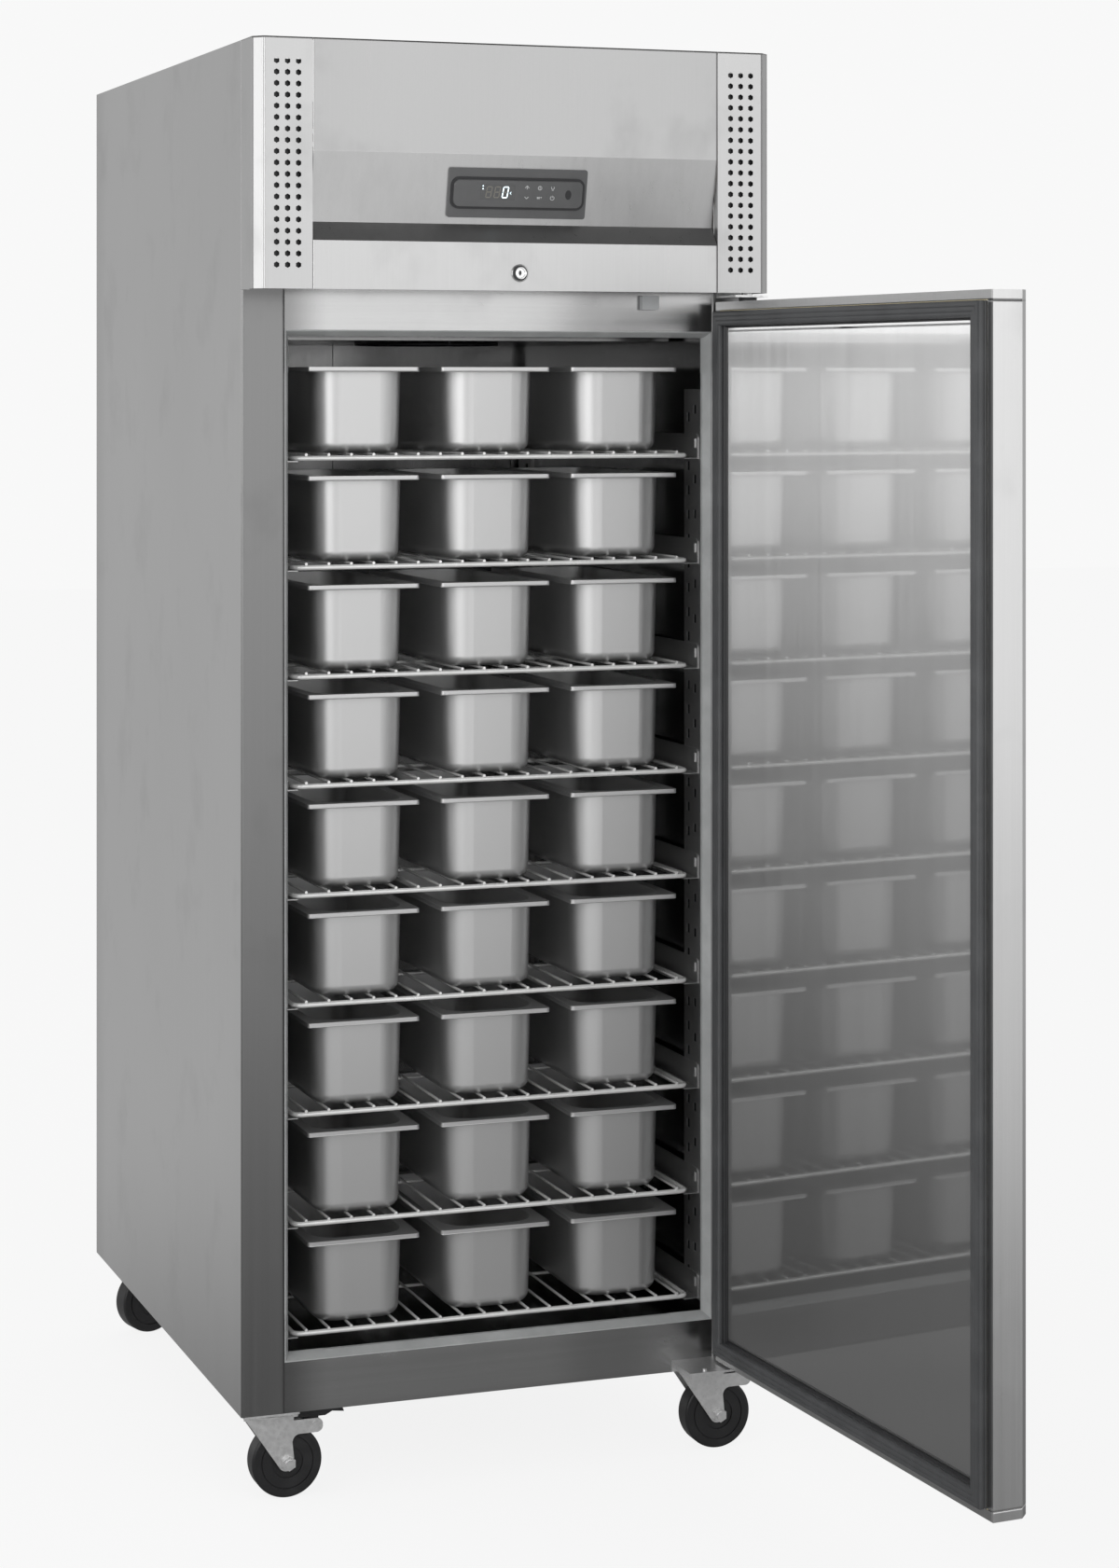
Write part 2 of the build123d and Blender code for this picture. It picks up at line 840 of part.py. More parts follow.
def rack_upright(setback):
    """A slotted right-hand upright, a shallow channel open towards the lining."""
    y0 = front + setback
    y1 = y0 + upright_width
    outline = sheet_outline([(liner_half, y0), (web_x, y0), (web_x, y1), (liner_half, y1)], -rack_sheet)
    low = base + upright_bottom
    high = low + upright_height
    upright = prism_z(outline, low, high)
    slots = slot_column(y0 + slot_setback, slot_width, slot_first, slot_pitch, slot_height)
    keyslots = slot_column(y0 + keyslot_setback, keyslot_width, keyslot_first, keyslot_pitch, keyslot_height)
    return upright - slots - keyslots


def slot_column(y, width, first, pitch, height):
    """A column of slots through an upright's web, as separate cutters."""
    low = base + upright_bottom
    count = floor((upright_height - first - height) / pitch) + 1
    cutter = block(web_x - skin, web_x + rack_sheet + skin, y, y + width, -height / 2, height / 2)
    return Part(children=[Pos(0, 0, low + first + i * pitch) * cutter for i in range(count)])


def shelf_height(level):
    """The height of the middle of a shelf's frame rod."""
    return base + first_shelf + level * shelf_pitch


def shelf_runner(level):
    """A right-hand runner: an L of sheet with a rounded front corner and a small stop tab."""
    outer_x = web_x - seat_gap
    inner_x = outer_x - rack_sheet
    ledge_top = shelf_height(level) - frame_rod / 2 - seat_gap
    y0 = front + runner_front
    y1 = y0 + runner_length
    high = shelf_height(level) + runner_top
    web = block(inner_x, outer_x, y0, y1, ledge_top - rack_sheet, high)
    web = fillet(web.edges().filter_by(Axis.X).group_by(Axis.Y)[0].sort_by(Axis.Z)[-1], runner_corner)
    ledge = block(outer_x - ledge_width, outer_x, y0, y1, ledge_top - rack_sheet, ledge_top)
    tab_y = y0 + tab_setback
    tab_z = high - runner_corner - tab_height
    web -= block(inner_x - skin, outer_x + skin, tab_y, tab_y + tab_length, tab_z, tab_z + tab_height)
    tab = block(inner_x - tab_stand, outer_x, tab_y - rack_sheet, tab_y, tab_z, tab_z + tab_height)
    return web + ledge + tab


def wire_shelf():
    """A coated wire shelf about its own frame height: frame rod, long wires and cross supports."""
    width = shelf_width - frame_rod
    y0 = front + shelf_front + frame_rod / 2
    length = shelf_depth - frame_rod
    outline = Pos(0, y0 + length / 2) * RectangleRounded(width, length, shelf_corner)
    path = outline.wire()
    frame = sweep(Plane(origin=path @ 0, z_dir=path % 0) * Circle(frame_rod / 2), path=path)
    wire_z = (frame_rod + wire_rod) / 2 - weld_sink
    for i in range(wire_count):
        x = (i - (wire_count - 1) / 2) * wire_pitch
        frame += rod((x, y0 - frame_rod / 2 + seat_gap, wire_z), (x, y0 + length, wire_z), wire_rod / 2)
    support_z = wire_z - (wire_rod + support_rod) / 2 + weld_sink
    for i in range(support_count):
        y = front + shelf_front + support_first + i * support_pitch
        if y < y0 + length:
            frame += rod((-width / 2, y, support_z), (width / 2, y, support_z), support_rod / 2)
    return frame


def storage_pan():
    """A deep-drawn steel pan with drafted walls, round corners and a turned rim, about its own base."""
    taper = 2 * (pan_flange + pan_draft)
    outer = tub(pan_width - taper, pan_length - taper, pan_corner, pan_floor_radius, 0)
    taper += 2 * pan_wall
    inner = tub(
        pan_width - taper, pan_length - taper, pan_corner - pan_wall, pan_floor_radius - pan_wall, pan_wall
    )
    rim_sketch = RectangleRounded(pan_width, pan_length, pan_lip_corner)
    rim = Pos(0, 0, pan_height - pan_wall) * extrude(rim_sketch, pan_wall)
    turned = 2 * pan_wall
    lip_hole = RectangleRounded(pan_width - turned, pan_length - turned, pan_lip_corner - pan_wall)
    lip = Pos(0, 0, pan_height - pan_lip) * extrude(rim_sketch - lip_hole, pan_lip)
    return outer + rim + lip - inner


def tub(width, length, corner, floor_radius, lift):
    """A drafted block with round upright corners and a round bottom edge."""
    draft_angle = degrees(atan2(pan_draft, pan_height))
    body = extrude(RectangleRounded(width, length, corner), pan_height - lift, taper=-draft_angle)
    bottom = body.faces().sort_by(Axis.Z)[0].edges()
    return Pos(0, 0, lift) * fillet(bottom, floor_radius)


def duct_panels():
    """Two rear duct sheets with return air slots and the ceiling panel with the fan opening."""
    outer = liner_half - duct_side_gap
    duct_y = liner_back - duct_depth
    low = liner_floor + duct_bottom_gap
    high = ceiling_panel_z
    panels = []
    for x0, x1 in ((-outer, duct_seam - panel_gap / 2), (duct_seam + panel_gap / 2, outer)):
        outline = sheet_outline([(x0, liner_back), (x0, duct_y), (x1, duct_y), (x1, liner_back)], -skin)
        panel = prism_z(outline, low, high)
        first = (x0 + x1 - (duct_slot_columns - 1) * duct_column_pitch - duct_slot_width) / 2
        slot = block(0, duct_slot_width, duct_y - skin, duct_y + 2 * skin, 0, duct_slot_height)
        for column in range(duct_slot_columns):
            for row in range(duct_slot_rows):
                panel -= Pos(first + column * duct_column_pitch, 0, low + duct_slot_pitch * (row + 1)) * slot
        panels.append(panel)
    rear_y = duct_y - ceiling_panel_rear_gap
    plate = block(-outer, outer, front + ceiling_panel_front, rear_y, ceiling_panel_z, liner_ceiling)
    plate -= block(
        -outer + skin,
        outer - skin,
        front + ceiling_panel_front + skin,
        rear_y - skin,
        ceiling_panel_z + skin,
        liner_ceiling + skin,
    )
    hole = rod((0, cold_fan_y, ceiling_panel_z - skin), (0, cold_fan_y, liner_ceiling), fan_opening())
    panels.append(plate - hole)
    return panels


def fan_opening():
    """The radius of the opening that a fan turns in."""
    return fan_radius + fan_tip_gap


def fan_rotor():
    """A fan with pitched blades and a bored hub, turning about Z around its own middle."""
    hub = rod((0, 0, -fan_depth / 2), (0, 0, fan_depth / 2), fan_hub_radius)
    reach = fan_radius - fan_hub_radius / 2
    blade = Pos(fan_hub_radius / 2 + reach / 2, 0, 0) * Rot(fan_blade_pitch, 0, 0) * Box(
        reach, fan_blade_width, fan_blade_thickness
    )
    rotor = hub
    for i in range(fan_blades):
        rotor += Rot(0, 0, 360 / fan_blades * i) * blade
    disc = rod((0, 0, -fan_depth / 2), (0, 0, fan_depth / 2), fan_radius)
    return (rotor & disc) - rod((0, 0, -fan_depth), (0, 0, fan_depth / 4), shaft_radius + running_gap)


def fan_mount():
    """A round fan ring with its motor, shaft and three struts, for a fan that turns around its middle."""
    ring = rod((0, 0, -shroud_height / 2), (0, 0, shroud_height / 2), fan_opening() + shroud_wall)
    ring -= rod((0, 0, -shroud_height), (0, 0, shroud_height), fan_opening())
    motor_low = -fan_depth / 2 - motor_rise
    motor = rod((0, 0, motor_low), (0, 0, motor_low - motor_length), motor_radius)
    motor += rod((0, 0, motor_low), (0, 0, fan_depth / 4 - seat_gap), shaft_radius)
    strut_low = motor_low - strut_width / 2
    strut = block(0, fan_opening() + shroud_wall, -strut_width / 2, strut_width / 2, strut_low, motor_low)
    mount = ring + motor
    outer = fan_opening() + shroud_wall
    ring_low = skin - shroud_height / 2
    leg = block(fan_opening(), outer, -strut_width / 2, strut_width / 2, strut_low, ring_low)
    for i in range(fan_struts):
        mount += Rot(0, 0, 360 / fan_struts * i) * (strut + leg)
    return mount


def cold_fan_place():
    """The pose of the cold fan: its shaft points down into the storage space."""
    return Pos(0, cold_fan_y, ceiling_panel_z + skin + shroud_height / 2) * Rot(180, 0, 0)


def machine_fan_place():
    """The pose of the condenser fan: its shaft points forward to the condenser."""
    return Pos(condenser_place, machine_fan_y, machine_fan_z) * Rot(90, 0, 0)


def fan_guard():
    """Wire rings on four bars and a hub disc, the bars seated on the rim of the ceiling opening."""
    outer = fan_opening() + guard_wire
    wire = guard_wire / 2
    guard = rod((0, 0, weld_sink - wire), (0, 0, wire - weld_sink), guard_hub_radius)
    for i in range(guard_bars):
        bar = rod((guard_hub_radius - guard_wire, 0, 0), (outer + 2 * guard_wire, 0, 0), wire)
        guard += Rot(0, 0, 360 / guard_bars * i) * bar
    for share in (1, 2 / 3, 1 / 3):
        guard += Pos(0, 0, weld_sink - guard_wire) * Torus(outer * share, wire)
    return Pos(0, cold_fan_y, ceiling_panel_z - wire) * guard


def comb(width, depth):
    """The plan outline of a finned block, with grooves on its front and back."""
    count = floor(width / fin_pitch)
    edge = []
    for i in range(count):
        x = i * fin_pitch
        fin = fin_pitch - fin_groove
        edge += [(x, 0), (x + fin, 0), (x + fin, fin_groove_depth), (x + fin_pitch, fin_groove_depth)]
    fin_end = count * fin_pitch
    edge += [(fin_end, 0), (fin_end + fin_pitch - fin_groove, 0)]
    end = edge[-1][0]
    upper = [(x, depth - y) for x, y in edge[::-1]]
    return [(x - end / 2, y) for x, y in edge + upper], end / 2


def coil(width, depth, height):
    """A finned coil about its front middle, with header plates and return bends at both ends."""
    outline, reach = comb(width, depth)
    fins = prism_z(outline, 0, height)
    margin = header_margin
    plates = [
        block(-reach - header_plate, -reach, -margin, depth + margin, 0, height + margin),
        block(reach, reach + header_plate, -margin, depth + margin, 0, height + margin),
    ]
    end = reach + header_plate
    rows = min(bend_rows, floor((height - bend_pitch / 2) / bend_pitch))
    solid = fins + plates[0] + plates[1]
    for side in (-1, 1):
        for row in range(rows):
            z = bend_pitch / 2 + row * bend_pitch
            solid += return_bend(side * end, side, depth / 4, depth * 3 / 4, z)
    return solid


def return_bend(x, side, y0, y1, z):
    """A half-round pipe bend that stands out of a header plate."""
    radius = (y1 - y0) / 2
    path = CenterArc((0, 0, 0), radius, -90, 180)
    bend = sweep(Plane(origin=path @ 0, z_dir=path % 0) * Circle(pipe_radius), path=path)
    turn = 0 if side > 0 else 180
    return Pos(x, (y0 + y1) / 2, z) * Rot(0, 0, turn) * bend


def condenser():
    """The condenser on the deck behind the canopy."""
    return Pos(condenser_place, condenser_low_y, deck_top) * coil(
        condenser_width, condenser_depth, condenser_height
    )


def evaporator():
    """The cold coil in its drip tray."""
    half_width = chamber_width / 2 - seat_gap
    floor_z = ceiling_panel_z + skin
    y0 = front + tray_front
    y1 = y0 + tray_depth
    tray_top = floor_z + tray_wall
    inner = half_width - skin
    tray = block(-half_width, half_width, y0, y1, floor_z, tray_top)
    tray -= block(-inner, inner, y0 + skin, y1 - skin, floor_z + skin, tray_top + skin)
    core = Pos(0, front + coil_front, floor_z + skin) * coil(coil_width, coil_depth, coil_height)
    return [tray, core]


def compressor():
    """The hermetic compressor: welded shell, feet with rubber grommets, terminal cover and stubs."""
    x, y = compressor_centre
    plate_z = deck_top + grommet_height
    low = plate_z + foot_sheet
    high = low + compressor_height
    shell = rod((x, y, low), (x, y, high), compressor_radius)
    shell = fillet(shell.edges(), compressor_radius / 3)
    seam_z = (low + high) / 2
    shell += rod((x, y, seam_z - skin), (x, y, seam_z + skin), compressor_radius + 2 * skin)
    foot = foot_span + grommet_radius
    plate = block(x - foot, x + foot, y - foot, y + foot, plate_z, low + skin)
    cover_x = x + compressor_radius - foot_sheet
    reach = motor_radius
    cover = block(cover_x, cover_x + strut_width, y - reach, y + reach, seam_z - reach, seam_z + reach)
    grommets = []
    for side_x in (-1, 1):
        for side_y in (-1, 1):
            place = (x + side_x * foot_span, y + side_y * foot_span)
            grommets.append(rod((*place, deck_top), (*place, plate_z), grommet_radius))
    return [shell + plate + cover, *grommets]


def suction_exit():
    """Where the suction pipe leaves the coil chamber: on its front face, in X, Y and Z."""
    x = compressor_centre[0] + compressor_radius / 2
    return (x, chamber_low_y, chamber_top - chamber_wall - 4 * pipe_radius)


def liquid_exit():
    """Where the liquid pipe enters the coil chamber: on its front face, in X, Y and Z."""
    return (liquid_place, chamber_low_y, chamber_top - chamber_wall - 4 * pipe_radius)


def refrigerant_pipes():
    """The hot gas, liquid and suction pipes, the liquid pipe with its drier."""
    shell_top = deck_top + grommet_height + foot_sheet + compressor_height
    x, y = compressor_centre
    high = deck_top + condenser_height - header_margin
    middle_y = (condenser_low_y + condenser_high_y) / 2
    reach = comb(condenser_width, condenser_depth)[1] + header_plate
    left = condenser_place - reach
    right = condenser_place + reach
    hot_way = [(x, y, shell_top), (x, y, high), (x, middle_y, high), (left, middle_y, high)]
    hot = tube_path(hot_way, pipe_bend, pipe_radius)
    exit_x, exit_y, exit_z = liquid_exit()
    drop_x = exit_x + pipe_reach
    drop_y = chamber_low_y - chamber_wall - pipe_reach
    liquid = tube_path(
        [
            (right, middle_y, high),
            (drop_x, middle_y, high),
            (drop_x, drop_y, high),
            (drop_x, drop_y, exit_z),
            (exit_x, drop_y, exit_z),
            (exit_x, exit_y, exit_z),
        ],
        pipe_bend,
        pipe_radius,
    )
    drier_low = (high + exit_z - drier_length) / 2
    liquid += rod((drop_x, drop_y, drier_low), (drop_x, drop_y, drier_low + drier_length), drier_radius)
    out_x, out_y, out_z = suction_exit()
    shell_y = y + sqrt(compressor_radius**2 - (abs(out_x - x) - pipe_radius) ** 2) + seat_gap
    return [hot, liquid, rod((out_x, shell_y, out_z), (out_x, out_y, out_z), pipe_radius)]


def electrical_box():
    """The box of the power electronics on the deck, and the mains gland in the back sheet."""
    width, depth, height = control_box
    place = Pos(control_box_place[0], front + control_box_place[1], deck_top + height / 2)
    case = place * Box(width, depth, height)
    case = fillet(case.edges().filter_by(Axis.Z), grommet_radius / 2)
    lid = place * Pos(0, 0, (height + foot_sheet) / 2) * Box(width, depth, foot_sheet)
    x, z = gland_offset, deck + gland_height
    sleeve = rod((x, back - skin, z), (x, back, z), gland_bore + bush_wall - running_gap)
    collar = rod((x, back - skin - gland_radius, z), (x, back - skin, z), gland_radius)
    bore = rod((x, back - 2 * gland_radius, z), (x, back + skin, z), gland_bore)
    return [case + lid, sleeve + collar - bore]


def door_switch():
    """The door sensor on the lintel."""
    width, depth, height = switch_size
    low = opening_top + switch_lift
    body = block(switch_place - width / 2, switch_place + width / 2, front - depth, front, low, low + height)
    return fillet(body.edges().filter_by(Axis.Y), skin)


def castor_places():
    """The four castors: name, swivel place in X and Y, turn about Z and whether it has a brake."""
    return [
        ("front_left", castor_front_left, 0, True),
        ("front_right", castor_front_right, 0, True),
        ("rear_left", castor_rear_left, rear_left_turn, False),
        ("rear_right", castor_rear_right, 0, False),
    ]


def castor_pose(place, turn):
    """The pose of a castor whose local origin is on its swivel axis under the cabinet's bottom."""
    return Pos(place[0] - half, place[1] + front, base) * Rot(0, 0, turn)


def castor_base():
    """A castor's fixed half: plate with bolt holes, ball race and kingpin, and its four bolts."""
    side = castor_plate_size / 2
    plate = block(-side, side, -side, side, -castor_plate, 0)
    plate = fillet(plate.edges().filter_by(Axis.Z), castor_bolt_radius)
    race_low = -castor_plate - race_height
    plate += rod((0, 0, race_low), (0, 0, -castor_plate), race_radius)
    pin_low = fork_top() - fork_sheet - seat_gap
    plate += rod((0, 0, pin_low), (0, 0, -castor_plate), kingpin_radius)
    plate += Pos(0, 0, pin_low - kingpin_head_height) * hexagon(kingpin_head_radius, kingpin_head_height)
    bolts = []
    for x in (-castor_bolt_span, castor_bolt_span):
        for y in (-castor_bolt_span, castor_bolt_span):
            plate -= rod((x, y, -2 * castor_plate), (x, y, skin), castor_bolt_radius + running_gap)
            shank = rod((x, y, -castor_plate), (x, y, skin), castor_bolt_radius)
            head_low = -castor_plate - castor_bolt_head_height
            bolts.append(shank + Pos(x, y, head_low) * hexagon(castor_bolt_head, castor_bolt_head_height))
    return [plate, *bolts]


def fork_top():
    """The height of a castor fork's upper face under the cabinet's bottom."""
    return -castor_plate - race_height - seat_gap


def axle_height():
    """The height of a wheel's axle under the cabinet's bottom."""
    return wheel_radius - castor_height


def cheek_outline(braked):
    """The outline of a fork cheek in X and Z: a slanted leg with a round tip and an arm for the brake."""
    tip = (wheel_trail - fork_sheet, axle_height())
    corner = (-fork_radius, fork_top())
    reach = hypot(tip[0] - corner[0], tip[1] - corner[1])
    along = atan2(tip[1] - corner[1], tip[0] - corner[0])
    open_angle = along - atan2(fork_tip_radius, sqrt(reach**2 - fork_tip_radius**2)) - radians(90)
    tangent = (tip[0] + fork_tip_radius * cos(open_angle), tip[1] + fork_tip_radius * sin(open_angle))
    right = (tip[0] + fork_tip_radius, tip[1])
    neck = (fork_neck, -arm_bottom)
    leg = face_of([corner, tangent, tip, right, neck, (fork_radius, -arm_top), (fork_radius, fork_top())])
    outline = leg + Pos(*tip) * Circle(fork_tip_radius)
    if braked:
        start = fork_neck - fork_sheet
        arm = Pos((start + arm_end) / 2, -(arm_top + arm_bottom) / 2) * Rectangle(
            arm_end - start, arm_bottom - arm_top
        )
        arm = fillet(arm.vertices().group_by(Axis.X)[-1], arm_round)
        outline += arm
        inner = outline.vertices().sort_by_distance(Vertex(fork_neck, -arm_bottom, 0))[0]
        outline = fillet(inner, arch_radius)
    return outline


def castor_fork(braked):
    """A castor's turning half: crown, two cheeks, axle bolt with nut and, with a brake, the pedal's pin."""
    crown_low = fork_top() - fork_sheet
    crown = rod((0, 0, crown_low), (0, 0, fork_top()), fork_radius)
    inner = fork_gap / 2
    outer = inner + fork_sheet
    crown += block(-fork_radius, fork_radius, -outer, outer, crown_low, fork_top())
    cheek = extrude(Plane.XZ * cheek_outline(braked), fork_sheet, dir=(0, 1, 0))
    fork = crown + Pos(0, -outer, 0) * cheek + Pos(0, inner, 0) * cheek
    fork -= rod((0, 0, crown_low - skin), (0, 0, fork_top() + skin), kingpin_radius + running_gap)
    x, z = wheel_trail, axle_height()
    fork += rod((x, -outer, z), (x, outer, z), axle_radius)
    nut_plane = Plane(origin=(x, -outer, z), z_dir=(0, -1, 0))
    fork += nut_plane * hexagon(axle_nut_radius, axle_nut_height)
    fork += rod((x, -outer - axle_nut_height - fork_sheet, z), (x, -outer, z), axle_radius)
    fork += Plane(origin=(x, outer, z), z_dir=(0, 1, 0)) * hexagon(axle_nut_radius, axle_nut_height)
    if braked:
        pin_x, pin_drop = pedal_pivot
        fork += rod((pin_x, -outer - skin, -pin_drop), (pin_x, outer + skin, -pin_drop), pedal_pin_radius)
    return fork


def castor_wheel():
    """A wheel about its own axle: crowned tread, grooved flanks, raised hub and bore."""
    side = wheel_width / 2
    tyre = rod((0, -side, 0), (0, side, 0), wheel_radius)
    tyre = fillet(tyre.edges(), wheel_crown)
    hub_side = fork_gap / 2 - seat_gap
    for sign in (-1, 1):
        face_y = sign * side
        outside = (0, face_y + sign, 0)
        groove_bottom = (0, face_y - sign * wheel_groove, 0)
        groove = rod(groove_bottom, outside, wheel_groove_radius)
        groove -= rod(groove_bottom, outside, wheel_groove_radius - wheel_groove)
        recess = rod((0, face_y - sign * wheel_recess, 0), outside, wheel_recess_radius)
        tyre = tyre - groove - recess
    tyre += rod((0, -hub_side, 0), (0, hub_side, 0), hub_radius)
    return tyre - rod((0, -wheel_radius, 0), (0, wheel_radius, 0), axle_radius + running_gap)


def brake_pedal():
    """A castor's brake pedal: a lever between the cheeks with a raised tip and a bored lug."""
    x0 = pedal_start
    end = pedal_end
    outline = [
        (x0, -pedal_top - skin),
        (x0, -pedal_bottom),
        (arm_end + pedal_tip_rise, -pedal_bottom),
        (arm_end + 3 * pedal_tip_rise, -pedal_bottom + pedal_tip_rise),
        (end, -pedal_bottom + pedal_tip_rise - 2 * skin),
        (end - pedal_tip_rise / 2, -pedal_top + pedal_tip_rise / 2),
        (pedal_pivot[0], -pedal_top),
    ]
    lever = prism_y(outline, -pedal_width / 2, pedal_width / 2)
    pin_x, pin_drop = pedal_pivot
    lug = pedal_lug / 2
    lug_low = skin - pin_drop - lug
    lever += block(pin_x - lug, pin_x + lug, -pedal_width / 2, pedal_width / 2, lug_low, -pedal_bottom)
    bore_radius = pedal_pin_radius + running_gap
    return lever - rod((pin_x, -pedal_width, -pin_drop), (pin_x, pedal_width, -pin_drop), bore_radius)


def door_pose():
    """The turn that opens the door about its hinge axis, from shut to the photographed position."""
    return Pos(pivot_x, pivot_y, 0) * Rot(0, 0, door_open_angle) * Pos(-pivot_x, -pivot_y, 0)


def build_cabinet():
    """Write the cabinet's shells, insulation and front."""
    left_panel = side_panel()
    save("side_panel_left", left_panel)
    save("side_panel_right", mirrored(left_panel))
    save("rear_panel", rear_panel())
    floor_sheet = base_pan()
    for _, place, _, _ in castor_places():
        for x in (-castor_bolt_span, castor_bolt_span):
            for y in (-castor_bolt_span, castor_bolt_span):
                hole = rod((x, y, -skin), (x, y, 2 * skin), castor_bolt_radius + running_gap)
                floor_sheet -= castor_pose(place, 0) * hole
    save("base_pan", floor_sheet)
    save("insulation", foam_body(), foam_chamber())
    save("inner_liner", inner_liner())
    save("breaker_frame", breaker_frame())
    save("face_frame", *face_frame())
    grille = vent_grille()
    save("vent_grilles", grille, mirrored(grille))
    save("fascia", fascia())
    save("control_panel", *control_panel())
    save("lock_housing", lock_housing())
    save("lock_cylinder", lock_cylinder())
    save("hinge_brackets", *hinge_brackets())
    save("door_switch", door_switch())


def build_door():
    """Write the door's pieces in the open position."""
    pose = door_pose()
    save("door_skin", pose * door_shell())
    save("door_foam", pose * door_foam())
    save("door_inner_panel", pose * inner_panel())
    save("door_gasket", pose * door_gasket())
    save("hinge_bushes", *[pose * bush for bush in hinge_bushes()])


def build_inside():
    """Write the racking, shelves, pans and ducts."""
    uprights = []
    for setback in (upright_front, body_depth - rear_wall - skin - rear_upright_setback - upright_width):
        upright = rack_upright(setback)
        uprights += [upright, mirrored(upright)]
    save("rack_uprights", *uprights)
    runners = []
    for level in range(shelf_count):
        runner = shelf_runner(level)
        runners += [runner, mirrored(runner)]
    save("shelf_runners", *runners)
    shelf = wire_shelf()
    pan = storage_pan()
    pan_y = front + pan_front + pan_length / 2
    for level in range(shelf_count):
        height = shelf_height(level)
        save(f"shelf_{level + 1}", Pos(0, 0, height) * shelf)
        pans = []
        for i in range(pans_per_shelf):
            x = (i - (pans_per_shelf - 1) / 2) * pan_pitch
            pans.append(Pos(x, pan_y, height + pan_floor_z) * pan)
        save(f"pans_{level + 1}", *pans)
    save("air_duct_panels", *duct_panels())


def build_machinery():
    """Write the refrigeration set and its fans."""
    save("compressor", *compressor())
    save("condenser", condenser())
    save("evaporator", *evaporator())
    save("refrigerant_pipes", *refrigerant_pipes())
    save("electrical_box", *electrical_box())
    mount = fan_mount()
    save("fan_mounts", cold_fan_place() * mount, machine_fan_place() * mount, fan_guard())
    rotor = fan_rotor()
    save("evaporator_fan", cold_fan_place() * rotor)
    save("condenser_fan", machine_fan_place() * rotor)


def build_castors():
    """Write the castors with their fixed plates, forks, wheels and brake pedals."""
    fixed = []
    wheel = castor_wheel()
    for name, place, turn, braked in castor_places():
        pose = castor_pose(place, turn)
        fixed += [castor_pose(place, 0) * piece for piece in castor_base()]
        save(f"castor_fork_{name}", pose * castor_fork(braked))
        save(f"castor_wheel_{name}", pose * Pos(wheel_trail, 0, axle_height()) * wheel)
        if braked:
            save(f"brake_pedal_{name}", pose * brake_pedal())
    save("castor_plates", *fixed)


os.makedirs("parts", exist_ok=True)
build_cabinet()
build_door()
build_inside()
build_machinery()
build_castors()
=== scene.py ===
"""Visual model of the commercial upright freezer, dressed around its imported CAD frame.

Everything is in metres in the frame of the CAD: +Z up, -Y to the front, +X to the right as seen from the
front, with the origin on the floor under the middle of the cabinet body.
"""

from __future__ import annotations

import logging
import math
from dataclasses import dataclass
from enum import Enum
from typing import Any, Sequence

import bmesh
import bpy
import numpy as np
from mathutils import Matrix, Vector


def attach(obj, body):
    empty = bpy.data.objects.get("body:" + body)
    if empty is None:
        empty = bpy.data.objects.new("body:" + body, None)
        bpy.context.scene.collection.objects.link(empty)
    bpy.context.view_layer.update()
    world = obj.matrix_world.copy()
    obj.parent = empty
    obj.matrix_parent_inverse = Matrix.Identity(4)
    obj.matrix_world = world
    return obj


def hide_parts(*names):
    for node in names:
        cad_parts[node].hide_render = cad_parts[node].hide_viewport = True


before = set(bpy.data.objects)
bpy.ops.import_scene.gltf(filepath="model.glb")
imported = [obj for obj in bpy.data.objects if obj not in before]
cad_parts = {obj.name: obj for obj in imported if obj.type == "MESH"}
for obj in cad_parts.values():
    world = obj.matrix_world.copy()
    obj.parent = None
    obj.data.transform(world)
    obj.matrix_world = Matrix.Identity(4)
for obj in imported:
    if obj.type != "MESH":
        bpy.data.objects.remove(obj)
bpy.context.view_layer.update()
MILLIMETRE = 0.001
LOG = logging.getLogger("upright_freezer")

FRONT = -0.470
CANOPY_FRONT = -0.541
BASE = 0.125
TOP = 2.017
DECK_TOP = 1.678
SILL_TOP = 0.195
OPENING_TOP = 1.620
OPENING_HALF = 0.3185
BODY_HALF = 0.380
BACK = 0.470
LOCK_HEIGHT = 1.699
UPPER_FACE = 1.863
FINE_LINES = 900.0
BROAD_LINES = 110.0
LINE_HEIGHT = 0.00006


class Grain(Enum):
    """The way that the brushing lines of a sheet run, as the scale of a pattern along X, Y and Z."""

    UPRIGHT = (1.0, 1.0, 0.006)
    ACROSS = (0.006, 1.0, 1.0)
    DEEP = (1.0, 0.006, 1.0)
    NONE = (1.0, 1.0, 1.0)


class Value:
    """A number that a node puts out, which takes part in Python arithmetic."""

    def __init__(self, graph: "Graph", socket: bpy.types.NodeSocket) -> None:
        """Keep the socket and the graph that new Math nodes go into.

        Args:
            graph: The node graph of the socket.
            socket: The output socket.
        """
        self.graph = graph
        self.socket = socket

    def __add__(self, other: "Value | float") -> "Value":
        """The sum."""
        return self.graph.math("ADD", self, other)

    def __radd__(self, other: float) -> "Value":
        """The sum with a number in front."""
        return self.graph.math("ADD", other, self)

    def __sub__(self, other: "Value | float") -> "Value":
        """The difference."""
        return self.graph.math("SUBTRACT", self, other)

    def __rsub__(self, other: float) -> "Value":
        """The difference from a number."""
        return self.graph.math("SUBTRACT", other, self)

    def __mul__(self, other: "Value | float") -> "Value":
        """The product."""
        return self.graph.math("MULTIPLY", self, other)

    def __rmul__(self, other: float) -> "Value":
        """The product with a number in front."""
        return self.graph.math("MULTIPLY", other, self)

    def __pow__(self, other: float) -> "Value":
        """The power."""
        return self.graph.math("POWER", self, other)


